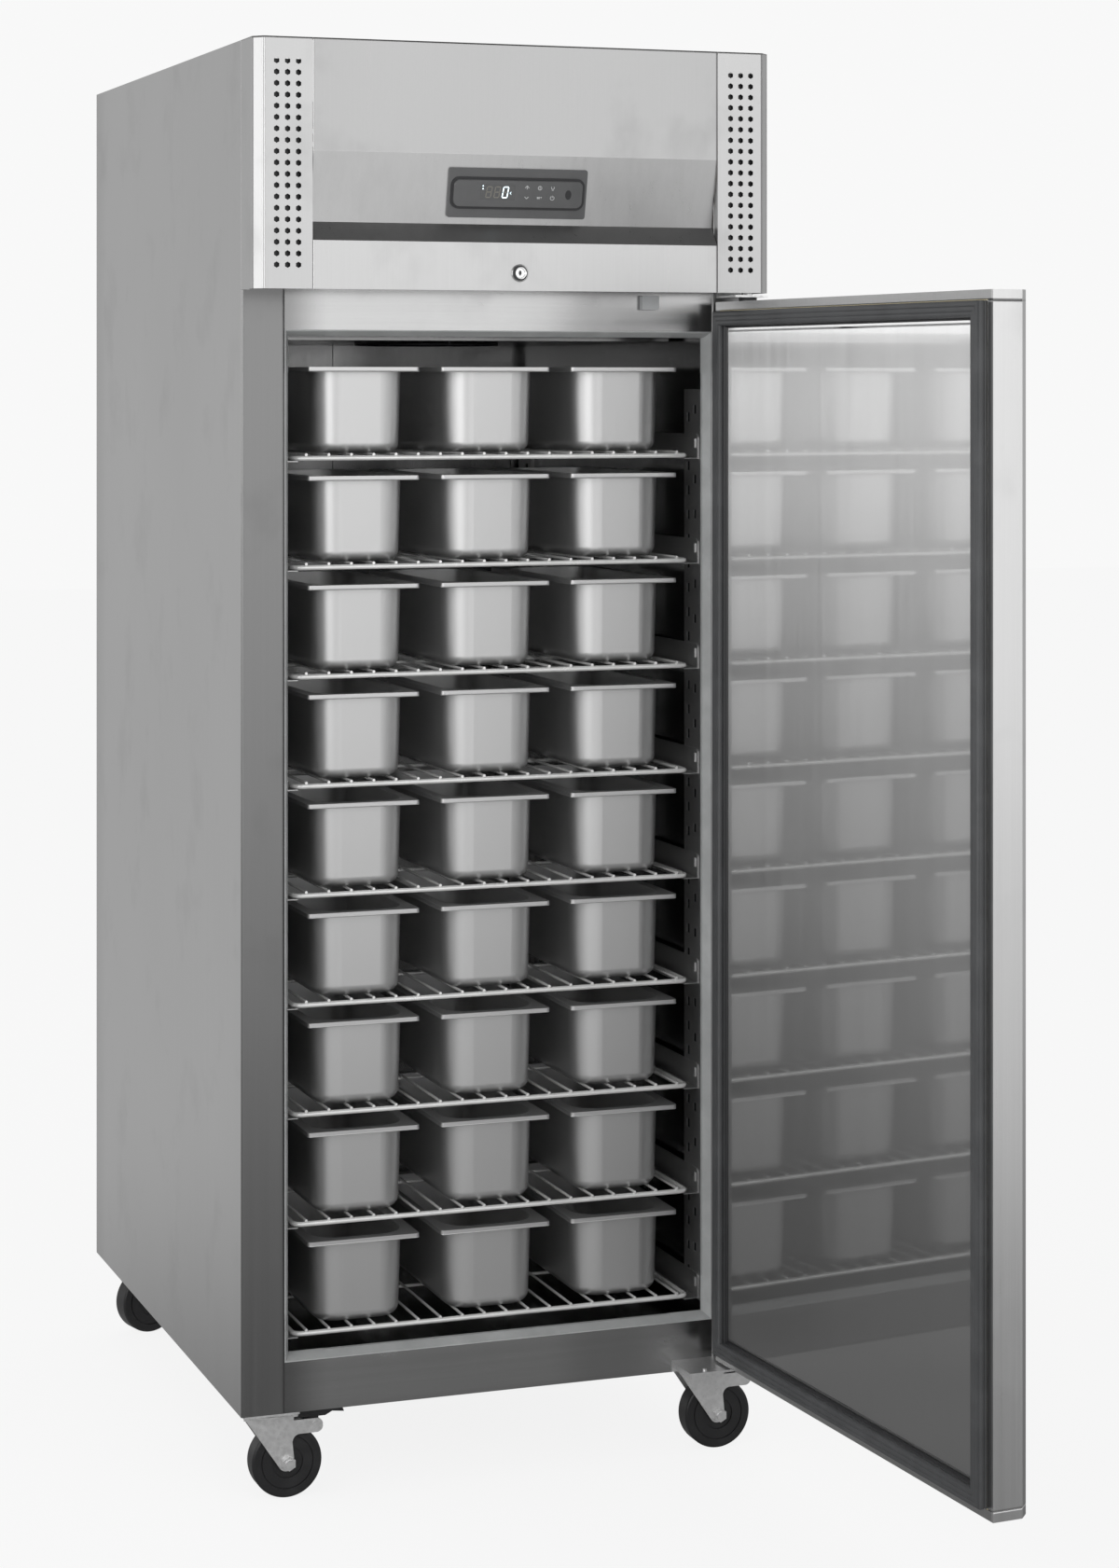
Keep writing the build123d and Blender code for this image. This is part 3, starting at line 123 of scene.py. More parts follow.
class Graph:
    """A shader node graph that is written as Python expressions."""

    def __init__(self, tree: bpy.types.NodeTree) -> None:
        """Empty the tree and take it over.

        Args:
            tree: The node tree of a material or world.
        """
        self.tree = tree
        tree.nodes.clear()

    def node(
        self,
        kind: str,
        settings: dict[str, Any] | None = None,
        inputs: dict[str | int, Any] | None = None,
        output: str | int = 0,
    ) -> Value:
        """Add one node.

        Args:
            kind: The node's type.
            settings: Properties of the node, set first; the stops of a ramp go under "stops".
            inputs: Numbers, tuples or values for its input sockets, by name or index.
            output: The output that is handed back.

        Returns:
            The chosen output as a value.
        """
        node = self.tree.nodes.new(kind)
        for key, setting in (settings or {}).items():
            if key == "stops":
                ramp = node.color_ramp.elements
                while len(ramp) < len(setting):
                    ramp.new(0.5)
                for element, (place, shade) in zip(ramp, setting):
                    element.position = place
                    element.color = shade
            else:
                setattr(node, key, setting)
        for key, entry in (inputs or {}).items():
            if isinstance(entry, Value):
                self.tree.links.new(entry.socket, node.inputs[key])
            else:
                node.inputs[key].default_value = entry
        return Value(self, node.outputs[output])

    def math(self, operation: str, a: Value | float, b: Value | float) -> Value:
        """A Math node on two values or numbers."""
        return self.node("ShaderNodeMath", {"operation": operation}, {0: a, 1: b})

    def clamp(self, entry: Value, low: float, high: float) -> Value:
        """The value held between two numbers."""
        return self.math("MINIMUM", self.math("MAXIMUM", entry, low), high)

    def over(self, entry: Value, threshold: float, gain: float) -> Value:
        """How far the value lies over a threshold, times a gain, held between 0 and 1."""
        return self.clamp((entry - threshold) * gain, 0.0, 1.0)

    def place(self, scale: Sequence[float], shift: Sequence[float] = (0.0, 0.0, 0.0)) -> Value:
        """Object coordinates through a Mapping node.

        Args:
            scale: The pattern's scale along X, Y and Z, per metre.
            shift: Where the pattern's origin goes, after scaling.

        Returns:
            The mapped vector.
        """
        coordinates = self.node("ShaderNodeTexCoord", output="Object")
        inputs = {"Vector": coordinates, "Scale": tuple(scale), "Location": tuple(shift)}
        return self.node("ShaderNodeMapping", None, inputs)

    def noise(
        self, scale: Sequence[float], detail: float = 2.0, roughness: float = 0.5, seed: float = 0.0
    ) -> Value:
        """Noise between 0 and 1 over the object.

        Args:
            scale: Features per metre along X, Y and Z.
            detail: Octaves of finer noise.
            roughness: Weight of the finer octaves.
            seed: A shift that makes one noise differ from the next.

        Returns:
            The noise factor.
        """
        vector = self.place(scale, (seed, seed * 1.7, seed * 2.3))
        inputs = {"Vector": vector, "Scale": 1.0, "Detail": detail, "Roughness": roughness}
        return self.node("ShaderNodeTexNoise", {"noise_dimensions": "3D"}, inputs)

    def cells(self, scale: float) -> Value:
        """The distance to the middle of the nearest cell, for cells of so many per metre."""
        inputs = {"Vector": self.place((scale,) * 3), "Scale": 1.0}
        return self.node("ShaderNodeTexVoronoi", None, inputs, "Distance")

    def size_of(self, entry: Value) -> Value:
        """The value without its sign."""
        return self.math("ABSOLUTE", entry, 0.0)

    def blend(self, factor: Value, low: Sequence[float], high: Sequence[float]) -> Value:
        """A colour between two colours."""
        inputs = {0: factor, 6: (*low, 1.0), 7: (*high, 1.0)}
        return self.node("ShaderNodeMix", {"data_type": "RGBA"}, inputs, output=2)

    def greys(self, factor: Value, low: float, high: float) -> Value:
        """A grey between two greys."""
        return self.blend(factor, (low,) * 3, (high,) * 3)

    def shaded(self, colour: Value, factor: Value) -> Value:
        """A colour multiplied by a factor."""
        settings = {"data_type": "RGBA", "blend_type": "MULTIPLY"}
        return self.node("ShaderNodeMix", settings, {0: 1.0, 6: colour, 7: factor}, output=2)

    def axis(self, name: str) -> Value:
        """One of the object's own coordinates, in metres.

        Args:
            name: X, Y or Z.
        """
        coordinates = self.node("ShaderNodeTexCoord", output="Object")
        return self.node("ShaderNodeSeparateXYZ", None, {"Vector": coordinates}, name)

    def ramp(self, entry: Value, start: float, end: float, low: float, high: float) -> Value:
        """A smooth change from one number to another while the value goes from a start to an end."""
        settings = {"interpolation_type": "SMOOTHSTEP"}
        inputs = {"Value": entry, "From Min": start, "From Max": end, "To Min": low, "To Max": high}
        return self.node("ShaderNodeMapRange", settings, inputs)

    def folds(self, places: Sequence[tuple[str, float]], radius: float) -> Value:
        """The height of rounded folds: -(r - d)^2 / 2r at a distance d under r from a fold's plane.

        Args:
            places: For each fold the axis that its plane cuts, and where, on both sides of the middle.
            radius: The fold's radius in metres.

        Returns:
            The height in metres.
        """
        height = None
        for name, place in places:
            distance = self.size_of(self.size_of(self.axis(name)) - place)
            gap = self.math("MAXIMUM", radius - distance, 0.0)
            drop = gap ** 2.0
            height = drop if height is None else height + drop
        return height * (-0.5 / radius)

    def bump(self, height: Value, strength: float, distance: float, under: Value | None = None) -> Value:
        """A bumped normal.

        Args:
            height: The height pattern.
            strength: How much of it shows.
            distance: The height of a full step, in metres.
            under: A normal that this one lies on.

        Returns:
            The normal.
        """
        inputs: dict[str | int, Any] = {"Height": height, "Strength": strength, "Distance": distance}
        if under is not None:
            inputs["Normal"] = under
        return self.node("ShaderNodeBump", None, inputs)

    def surface(self, **inputs: Any) -> None:
        """Finish the graph with a Principled shader.

        Args:
            inputs: The shader's sockets, with an underscore for each space in a name.
        """
        named = {key.replace("_", " "): entry for key, entry in inputs.items()}
        shader = self.node("ShaderNodeBsdfPrincipled", None, named, "BSDF")
        self.end(shader)

    def end(self, shader: Value, kind: str = "ShaderNodeOutputMaterial") -> None:
        """Link a shader to the graph's output node."""
        output = self.tree.nodes.new(kind)
        self.tree.links.new(shader.socket, output.inputs["Surface"])


@dataclass(frozen=True)
class Finish:
    """A surface finish: a name, and a graph that its kind of finish draws."""

    name: str

    def material(self) -> bpy.types.Material:
        """The finish's material, made the first time that it is asked for."""
        kept = bpy.data.materials.get(self.name)
        if kept is not None:
            return kept
        material = bpy.data.materials.new(self.name)
        material.use_nodes = True
        self.draw(Graph(material.node_tree))
        return material

    def draw(self, graph: Graph) -> None:
        """Draw the finish.

        Args:
            graph: The empty graph of the new material.
        """
        raise NotImplementedError


@dataclass(frozen=True)
class SteelSheet(Finish):
    """Stainless sheet with brushing lines, faint clouds and finger marks."""

    shade: float = 0.55
    spread: float = 0.25
    grain: Grain = Grain.UPRIGHT
    roughness: float = 0.3
    streak: float = 0.06
    cloud: float = 0.06
    marks: float = 0.06
    ripple: float = 0.0
    line_depth: float = 0.25
    folds: tuple[tuple[str, float], ...] = ()
    fold_radius: float = 0.0026
    coat: float = 0.0
    coat_index: float = 1.5
    stretch: float = 0.0

    def painted_light(self, graph: Graph) -> Value | None:
        """A factor of painted light and shade on the sheet's tone over the object; a plain sheet has none."""
        return None

    def draw(self, graph: Graph) -> None:
        """Draw brushing lines at two scales, clouds, marks, rounded folds and the sheet's own slow ripple."""
        fine = graph.noise([FINE_LINES * axis for axis in self.grain.value], 2.0, 0.7)
        broad = graph.noise([BROAD_LINES * axis for axis in self.grain.value], 3.0, 0.6, 3.1)
        cloud = graph.noise((1.6, 1.6, 1.1), 3.0, 0.5, 7.7)
        marks = graph.noise((9.0, 9.0, 7.0), 5.0, 0.62, 1.3)
        smudge = graph.over(marks, 0.54, 6.0)
        tone = 0.5 + (fine - 0.5) * self.streak * 3.0 + (broad - 0.5) * self.streak * 4.0
        tone = tone + (cloud - 0.5) * self.cloud * 6.0 - smudge * self.marks * 0.8
        dull, bright = self.shade * (1 - self.spread), self.shade * (1 + self.spread)
        colour = graph.greys(graph.clamp(tone, 0.0, 1.0), dull, bright)
        # Painted light and shade: a factor on the colour, where the sheet has one.
        painted_light = self.painted_light(graph)
        if painted_light is not None:
            colour = graph.shaded(colour, painted_light)
        rough = self.roughness + (broad - 0.5) * 0.10 + (fine - 0.5) * 0.08 + smudge * self.marks
        fold = graph.bump(graph.folds(self.folds, self.fold_radius), 1.0, 1.0) if self.folds else None
        normal = graph.bump(fine, self.line_depth, LINE_HEIGHT, fold)
        if self.ripple:
            wave = graph.noise((5.0, 5.0, 3.2), 1.0, 0.4, 5.5)
            normal = graph.bump(wave, 1.0, self.ripple, normal)
        rough = graph.clamp(rough, 0.05, 0.9)
        graph.surface(
            Base_Color=colour,
            Metallic=1.0,
            Roughness=rough,
            Anisotropic=self.stretch,
            Normal=normal,
            Coat_Weight=self.coat,
            Coat_Roughness=0.03,
            Coat_IOR=self.coat_index,
        )


@dataclass(frozen=True)
class SideSteel(SteelSheet):
    """The side panel's sheet, whose front return carries painted shade, darkest low down, and which is darker
    towards its back edge.
    """

    return_shade_tones: tuple[float, float] = (0.42, 0.46)
    rear_tone: float = 0.9

    def painted_light(self, graph: Graph) -> Value:
        """The return lies in front of a plane; along it the tone falls from the top to the floor as painted
        shade, and the side darkens towards its back edge.
        """
        # Painted shade over the front return, deepest low down.
        low = graph.ramp(graph.axis("Z"), 0.1, 1.7, *self.return_shade_tones)
        front = graph.ramp(graph.axis("Y"), -0.4683, -0.4690, 0.0, 1.0)
        edge = graph.ramp(graph.axis("Y"), 0.38, BACK, 1.0, self.rear_tone)
        return (1.0 - front) * edge + front * low


@dataclass(frozen=True)
class SillSteel(SteelSheet):
    """The front frame's sheet, with painted shade at the sill, at its left end and in one patch over the
    opening.
    """

    sill_shade_tone: float = 0.95
    left_end_shade: tuple[float, float] = (-0.325, 0.48)
    shade_patch: tuple[float, float] = (0.16, 0.80)

    def painted_light(self, graph: Graph) -> Value:
        """The sill lies low; over the opening the painted shade dips the tone round two places along X."""
        # Painted shade: darker low at the sill, at the left end and in one patch.
        sill = graph.ramp(graph.axis("Z"), 0.25, 1.5, self.sill_shade_tone, 1.0)
        from_end = graph.size_of(graph.axis("X") - self.left_end_shade[0])
        from_patch = graph.size_of(graph.axis("X") - self.shade_patch[0])
        end = graph.ramp(from_end, 0.0, 0.075, self.left_end_shade[1], 1.0)
        return sill * end * graph.ramp(from_patch, 0.02, 0.10, self.shade_patch[1], 1.0)


@dataclass(frozen=True)
class DoorSteel(SteelSheet):
    """The door's inside, with painted shade towards its foot and painted light towards its top."""

    foot_shade_tone: float = 0.64
    head_light_tone: float = 1.02
    highlight_band_tone: float = 0.28

    def painted_light(self, graph: Graph) -> Value:
        """The tone rises from the bottom of the panel to its top as painted shade and light, where a painted
        highlight band is brighter still.
        """
        # Painted shade low down, painted light up high, and a painted highlight band near the top.
        rise = graph.ramp(graph.axis("Z"), 0.1, 1.75, self.foot_shade_tone, self.head_light_tone)
        return rise + graph.ramp(graph.axis("Z"), 1.590, 1.612, 0.0, self.highlight_band_tone)


@dataclass(frozen=True)
class DoorSkinSteel(SteelSheet):
    """The door's outer sheet, whose face is painted darker so that its narrow free edge carries a painted
    highlight.
    """

    face_shade_tone: float = 0.72

    def painted_light(self, graph: Graph) -> Value:
        """The free edge lies in front of one plane of the open door; the painted highlight lies there."""
        # Painted shade on the face, leaving a painted highlight on the free edge.
        return graph.ramp(graph.axis("Y"), -1.2500, -1.2520, self.face_shade_tone, 1.0)


@dataclass(frozen=True)
class FasciaSteel(SteelSheet):
    """The canopy's front sheet, whose upper face carries painted shade, darker than its slope and its lower
    face.
    """

    upper_shade_tone: float = 0.80

    def painted_light(self, graph: Graph) -> Value:
        """The upper face lies over one height; the painted shade lies there."""
        # Painted shade on the upper face.
        return graph.ramp(graph.axis("Z"), UPPER_FACE - 0.0005, UPPER_FACE + 0.001, 1.0, self.upper_shade_tone)


@dataclass(frozen=True)
class DrawnSteel(Finish):
    """Deep-drawn steel: soft drawing lines up the walls, water spots and a satin shine."""

    shade: float = 0.62
    roughness: float = 0.26

    def draw(self, graph: Graph) -> None:
        """Draw upright drawing lines, slow clouds and a few dried drops."""
        lines = graph.noise((260.0, 260.0, 5.0), 3.0, 0.6)
        cloud = graph.noise((14.0, 14.0, 9.0), 4.0, 0.6, 2.2)
        drops = graph.clamp(1.0 - graph.size_of(graph.cells(42.0) - 0.085) * 60.0, 0.0, 1.0)
        rare = graph.over(graph.noise((11.0,) * 3, 0.0, 0.5, 9.1), 0.56, 12.0)
        tone = 0.5 + (lines - 0.5) * 0.35 + (cloud - 0.5) * 0.7
        colour = graph.greys(graph.clamp(tone, 0.0, 1.0), self.shade * 0.82, self.shade * 1.16)
        rough = self.roughness + (cloud - 0.5) * 0.12 + drops * rare * 0.2
        normal = graph.bump(lines, 0.15, 0.00008)
        dents = graph.noise((30.0, 30.0, 22.0), 1.0, 0.5, 4.0)
        normal = graph.bump(dents, 0.5, 0.0003, normal)
        graph.surface(Base_Color=colour, Metallic=1.0, Roughness=graph.clamp(rough, 0.08, 0.8), Normal=normal)


@dataclass(frozen=True)
class ZincPlate(Finish):
    """Zinc-plated steel with patches and smudges."""

    shade: float = 0.62
    metallic: float = 0.85
    grime: float = 0.3

    def draw(self, graph: Graph) -> None:
        """Draw spangle patches and grime."""
        patches = graph.cells(160.0)
        grime = graph.noise((38.0,) * 3, 5.0, 0.65, 2.0)
        dirt = graph.over(grime, 0.56, 7.0)
        tone = graph.clamp(0.68 + (patches - 0.4) * 0.2 - dirt * self.grime, 0.0, 1.0)
        colour = graph.greys(tone, self.shade * 0.55, self.shade * 1.18)
        rough = 0.30 + patches * 0.14 + dirt * 0.25
        normal = graph.bump(grime, 0.2, 0.0003)
        graph.surface(Base_Color=colour, Metallic=self.metallic, Roughness=rough, Normal=normal)


@dataclass(frozen=True)
class Moulded(Finish):
    """Moulded plastic, rubber or enamel with a fine texture, dust and a soft shine."""

    colour: tuple[float, float, float] = (0.05, 0.05, 0.05)
    roughness: float = 0.45
    texture: float = 0.2
    dust: float = 0.1
    coat: float = 0.0
    metallic: float = 0.0

    def draw(self, graph: Graph) -> None:
        """Draw a fine texture, slow tone and dust."""
        texture = graph.noise((1400.0,) * 3, 2.0, 0.6)
        tone = graph.noise((17.0,) * 3, 4.0, 0.6, 4.4)
        dusty = graph.over(tone, 0.5, 3.0) * self.dust
        low = tuple(channel * 0.85 for channel in self.colour)
        high = tuple(channel * (1.1 + 0.4 * self.dust) + 0.02 * self.dust for channel in self.colour)
        share = graph.clamp(0.4 + (tone - 0.5) * 1.4 + dusty, 0.0, 1.0)
        colour = graph.blend(share, low, high)
        rough = self.roughness + (texture - 0.5) * 0.1 + dusty * 0.4
        normal = graph.bump(texture, self.texture, 0.00015)
        graph.surface(
            Base_Color=colour, Metallic=self.metallic, Roughness=rough, Normal=normal, Coat_Weight=self.coat
        )


@dataclass(frozen=True)
class CopperTube(Finish):
    """Drawn copper pipe, a little dull in patches."""

    def draw(self, graph: Graph) -> None:
        """Draw bright and dull patches."""
        tone = graph.noise((45.0,) * 3, 4.0, 0.6)
        colour = graph.blend(tone, (0.50, 0.24, 0.14), (0.83, 0.48, 0.33))
        graph.surface(Base_Color=colour, Metallic=1.0, Roughness=0.22 + tone * 0.25)


@dataclass(frozen=True)
class FoamCore(Finish):
    """Yellowish rigid foam with small cells."""

    def draw(self, graph: Graph) -> None:
        """Draw cells."""
        cells = graph.cells(420.0)
        colour = graph.blend(cells, (0.66, 0.56, 0.34), (0.84, 0.77, 0.56))
        graph.surface(Base_Color=colour, Roughness=0.85, Normal=graph.bump(cells, 0.4, 0.0008))


@dataclass(frozen=True)
class LitMark(Finish):
    """A lit segment or lamp of the display."""

    colour: tuple[float, float, float] = (0.75, 0.93, 1.0)
    strength: float = 1.6

    def draw(self, graph: Graph) -> None:
        """Draw a glow whose tone varies a little in a fine noise."""
        tone = graph.noise((500.0,) * 3, 1.0, 0.5)
        colour = graph.blend(tone, tuple(channel * 0.9 for channel in self.colour), self.colour)
        graph.surface(
            Base_Color=colour, Roughness=0.3, Emission_Color=colour, Emission_Strength=self.strength
        )


SIDE_FOLDS = (("X", BODY_HALF), ("Y", BACK), ("X", OPENING_HALF))
GRILLE_FOLDS = (("X", 0.367), ("Y", 0.528), ("Z", TOP))
STEEL = FasciaSteel("brushed_steel_upright", shade=0.52, folds=(("X", 0.298), ("Z", TOP)))
GRILLE_STEEL = SteelSheet("brushed_steel_grille", shade=0.50, folds=GRILLE_FOLDS)
DOOR_STEEL = DoorSkinSteel("brushed_steel_door", shade=0.72, folds=(("Z", 0.158), ("Z", 1.6485)))
STEEL_SIDE = SideSteel("brushed_steel_side", shade=0.53, roughness=0.36, folds=SIDE_FOLDS, fold_radius=0.004)
STEEL_ACROSS = SillSteel(
    "brushed_steel_across",
    shade=0.50,
    grain=Grain.ACROSS,
    roughness=0.22,
    ripple=0.0005,
)
LINER = SteelSheet("bright_liner", shade=0.36, roughness=0.17, ripple=0.0006, marks=0.1)
DOOR_LINER = DoorSteel(
    "bright_door_liner",
    shade=0.70,
    roughness=0.38,
    streak=0.012,
    ripple=0.0006,
    cloud=0.03,
    marks=0.03,
    line_depth=0.06,
    coat=1.0,
    coat_index=2.0,
    stretch=1.0,
)
RACK_STEEL = SteelSheet("rack_steel", shade=0.58, roughness=0.42)
PAN_STEEL = DrawnSteel("pan_steel")
GALVANISED = ZincPlate("galvanised_sheet", shade=0.60, metallic=0.9, grime=0.08)
ZINC = ZincPlate("zinc_plate", shade=0.84)
CHROME = SteelSheet("lock_chrome", shade=0.72, grain=Grain.NONE, roughness=0.12, streak=0.02, marks=0.03)
FOAM = FoamCore("rigid_foam")
BREAKER = Moulded("breaker_plastic", (0.42, 0.43, 0.43), 0.38, 0.15, 0.3)
SEAL = Moulded("seal_rubber", (0.066, 0.068, 0.071), 0.42, 0.25, 0.4)
BLACK_PLASTIC = Moulded("black_plastic", (0.018, 0.018, 0.02), 0.42, 0.25, 0.2)
BEZEL = Moulded("bezel_plastic", (0.095, 0.096, 0.098), 0.30, 0.08, 0.1, 0.3)
WINDOW = Moulded("display_window", (0.085, 0.086, 0.087), 0.18, 0.03, 0.05, 0.4)
GREY_PLASTIC = Moulded("grey_plastic", (0.40, 0.41, 0.42), 0.45, 0.2, 0.3)
TYRE = Moulded("wheel_rubber", (0.012, 0.012, 0.013), 0.38, 0.3, 0.5)
ENAMEL = Moulded("compressor_enamel", (0.02, 0.02, 0.022), 0.22, 0.1, 0.3, 0.5)
WIRE_COATING = Moulded("wire_coating", (0.92, 0.92, 0.91), 0.25, 0.05, 0.1, 0.6, 0.35)
FIN_STOCK = SteelSheet("fin_aluminium", shade=0.72, roughness=0.35)
COPPER = CopperTube("copper_tube")
PRINTED = Moulded("printed_mark", (0.82, 0.83, 0.84), 0.5, 0.1, 0.1)
GHOST = Moulded("unlit_segment", (0.20, 0.19, 0.165), 0.35, 0.1, 0.1)
LIT = LitMark("lit_segment")


class Mesh:
    """A growing mesh of grids, rings and prisms that becomes one object."""

    def __init__(self, name: str) -> None:
        """Start an empty mesh.

        Args:
            name: The object's name.
        """
        self.name = name
        self.points: list[np.ndarray] = []
        self.faces: list[tuple[int, ...]] = []
        self.count = 0

    def grid(
        self, points: np.ndarray, around: bool = False, along: bool = False, caps: bool = False
    ) -> "Mesh":
        """Add a surface given on a grid of two parameters.

        Args:
            points: Positions, of shape (rows, columns, 3).
            around: Whether the last column joins the first.
            along: Whether the last row joins the first.
            caps: Whether the first and last row are closed with a face.

        Returns:
            This mesh.
        """
        rows, columns = points.shape[:2]
        index = np.arange(rows * columns).reshape(rows, columns) + self.count
        if around:
            index = np.concatenate([index, index[:, :1]], axis=1)
        if along:
            index = np.concatenate([index, index[:1]], axis=0)
        corners = (index[:-1, :-1], index[:-1, 1:], index[1:, 1:], index[1:, :-1])
        quads = np.stack(corners, axis=-1).reshape(-1, 4)
        self.faces += [tuple(quad) for quad in quads.tolist()]
        if caps:
            ring = index[:, :columns]
            self.faces += [tuple(ring[0][::-1].tolist()), tuple(ring[-1].tolist())]
        self.points.append(points.reshape(-1, 3))
        self.count += rows * columns
        return self

    def prism(self, low: np.ndarray, high: np.ndarray) -> "Mesh":
        """Add a closed prism between two rings of points."""
        return self.grid(np.stack([low, high]), around=True, caps=True)

    def hoop(self, rows: Sequence[np.ndarray]) -> "Mesh":
        """Add a closed ring, whose rows join their ends and whose last row joins the first."""
        return self.grid(np.stack(rows), around=True, along=True)

    def finished(
        self,
        finish: Finish,
        body: str = "cabinet",
        slot: str = "dark_plastic",
        replaces: Sequence[str] = (),
        smooth: float = 35.0,
    ) -> bpy.types.Object:
        """Make the object, dress it and let it ride on its body.

        Args:
            finish: The finish of the whole piece.
            body: The CAD body that it rides on.
            slot: The record's material slot; not used.
            replaces: The CAD nodes that it stands for.
            smooth: The largest angle between faces that is shaded smooth, in degrees.

        Returns:
            The object.
        """
        data = bpy.data.meshes.new(self.name)
        data.from_pydata(np.concatenate(self.points).tolist(), [], self.faces)
        data.materials.append(finish.material())
        piece = bpy.data.objects.new(self.name, data)
        bpy.context.scene.collection.objects.link(piece)
        turn_outwards(data)
        shade(data, smooth)
        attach(piece, body)
        if replaces:
            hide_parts(*replaces)
        LOG.info("piece %s rides on %s", self.name, body)
        return piece


def turn_outwards(data: bpy.types.Mesh) -> None:
    """Recalculate a closed mesh's normals so that its faces point outwards."""
    work = bmesh.new()
    work.from_mesh(data)
    bmesh.ops.recalc_face_normals(work, faces=work.faces)
    work.to_mesh(data)
    work.free()


def shade(data: bpy.types.Mesh, angle: float) -> None:
    """Shade faces smooth and mark the edges that are sharper than an angle.

    Args:
        data: The mesh.
        angle: The largest smooth angle, in degrees.
    """
    work = bmesh.new()
    work.from_mesh(data)
    for face in work.faces:
        face.smooth = True
    for edge in work.edges:
        if len(edge.link_faces) == 2:
            edge.smooth = edge.calc_face_angle() < math.radians(angle)
    work.to_mesh(data)
    work.free()


def lathe(
    profile: Sequence[tuple[float, float]], centre: Sequence[float], axis: Sequence[float], steps: int = 32
) -> np.ndarray:
    """A turned surface: each profile point (radius, height) goes round the axis in equal steps.

    Args:
        profile: Radii and heights along the axis, in metres.
        centre: The point that height 0 lies at.
        axis: The axis, of unit length.
        steps: Points round the axis.

    Returns:
        Positions of shape (profile points, steps, 3).
    """
    along = np.array(axis, float)
    side = np.cross(along, (0.0, 0.0, 1.0) if abs(along[2]) < 0.9 else (1.0, 0.0, 0.0))
    side /= np.linalg.norm(side)
    other = np.cross(along, side)
    turn = np.linspace(0.0, 2 * math.pi, steps, endpoint=False)
    ring = np.cos(turn)[:, None] * side + np.sin(turn)[:, None] * other
    radius = np.array([point[0] for point in profile])[:, None, None]
    height = np.array([point[1] for point in profile])[:, None, None]
    return np.array(centre) + ring[None] * radius + along * height


def boxes(low: np.ndarray, high: np.ndarray) -> np.ndarray:
    """The corner rings of many boxes: for each box two rings of four corners, lower then upper.

    Args:
        low: Lowest corners, of shape (n, 3).
        high: Highest corners, of shape (n, 3).

    Returns:
        Positions of shape (n, 2, 4, 3).
    """
    pick_x = np.array([0, 1, 1, 0])
    pick_y = np.array([0, 0, 1, 1])
    both = np.stack([low, high], axis=1)
    x = both[:, pick_x, 0]
    y = both[:, pick_y, 1]
    rings = [np.stack([x, y, np.broadcast_to(both[:, i, 2:3], x.shape)], axis=-1) for i in (0, 1)]
    return np.stack(rings, axis=1)


def dress(nodes: Sequence[str], finish: Finish) -> None:
    """Give CAD nodes a finish.

    Args:
        nodes: The nodes' names.
        finish: Their finish.
    """
    for name in nodes:
        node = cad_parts[name]
        node.data.materials.clear()
        node.data.materials.append(finish.material())
        LOG.info("node %s dressed with %s", name, finish.name)


class Assembly:
    """A part of the freezer that dresses its nodes and builds the pieces that the frame doesn't hold."""

    def dress(self) -> None:
        """Give the nodes their finishes."""

    def build(self) -> None:
        """Build the assembly's own pieces, where it has any."""


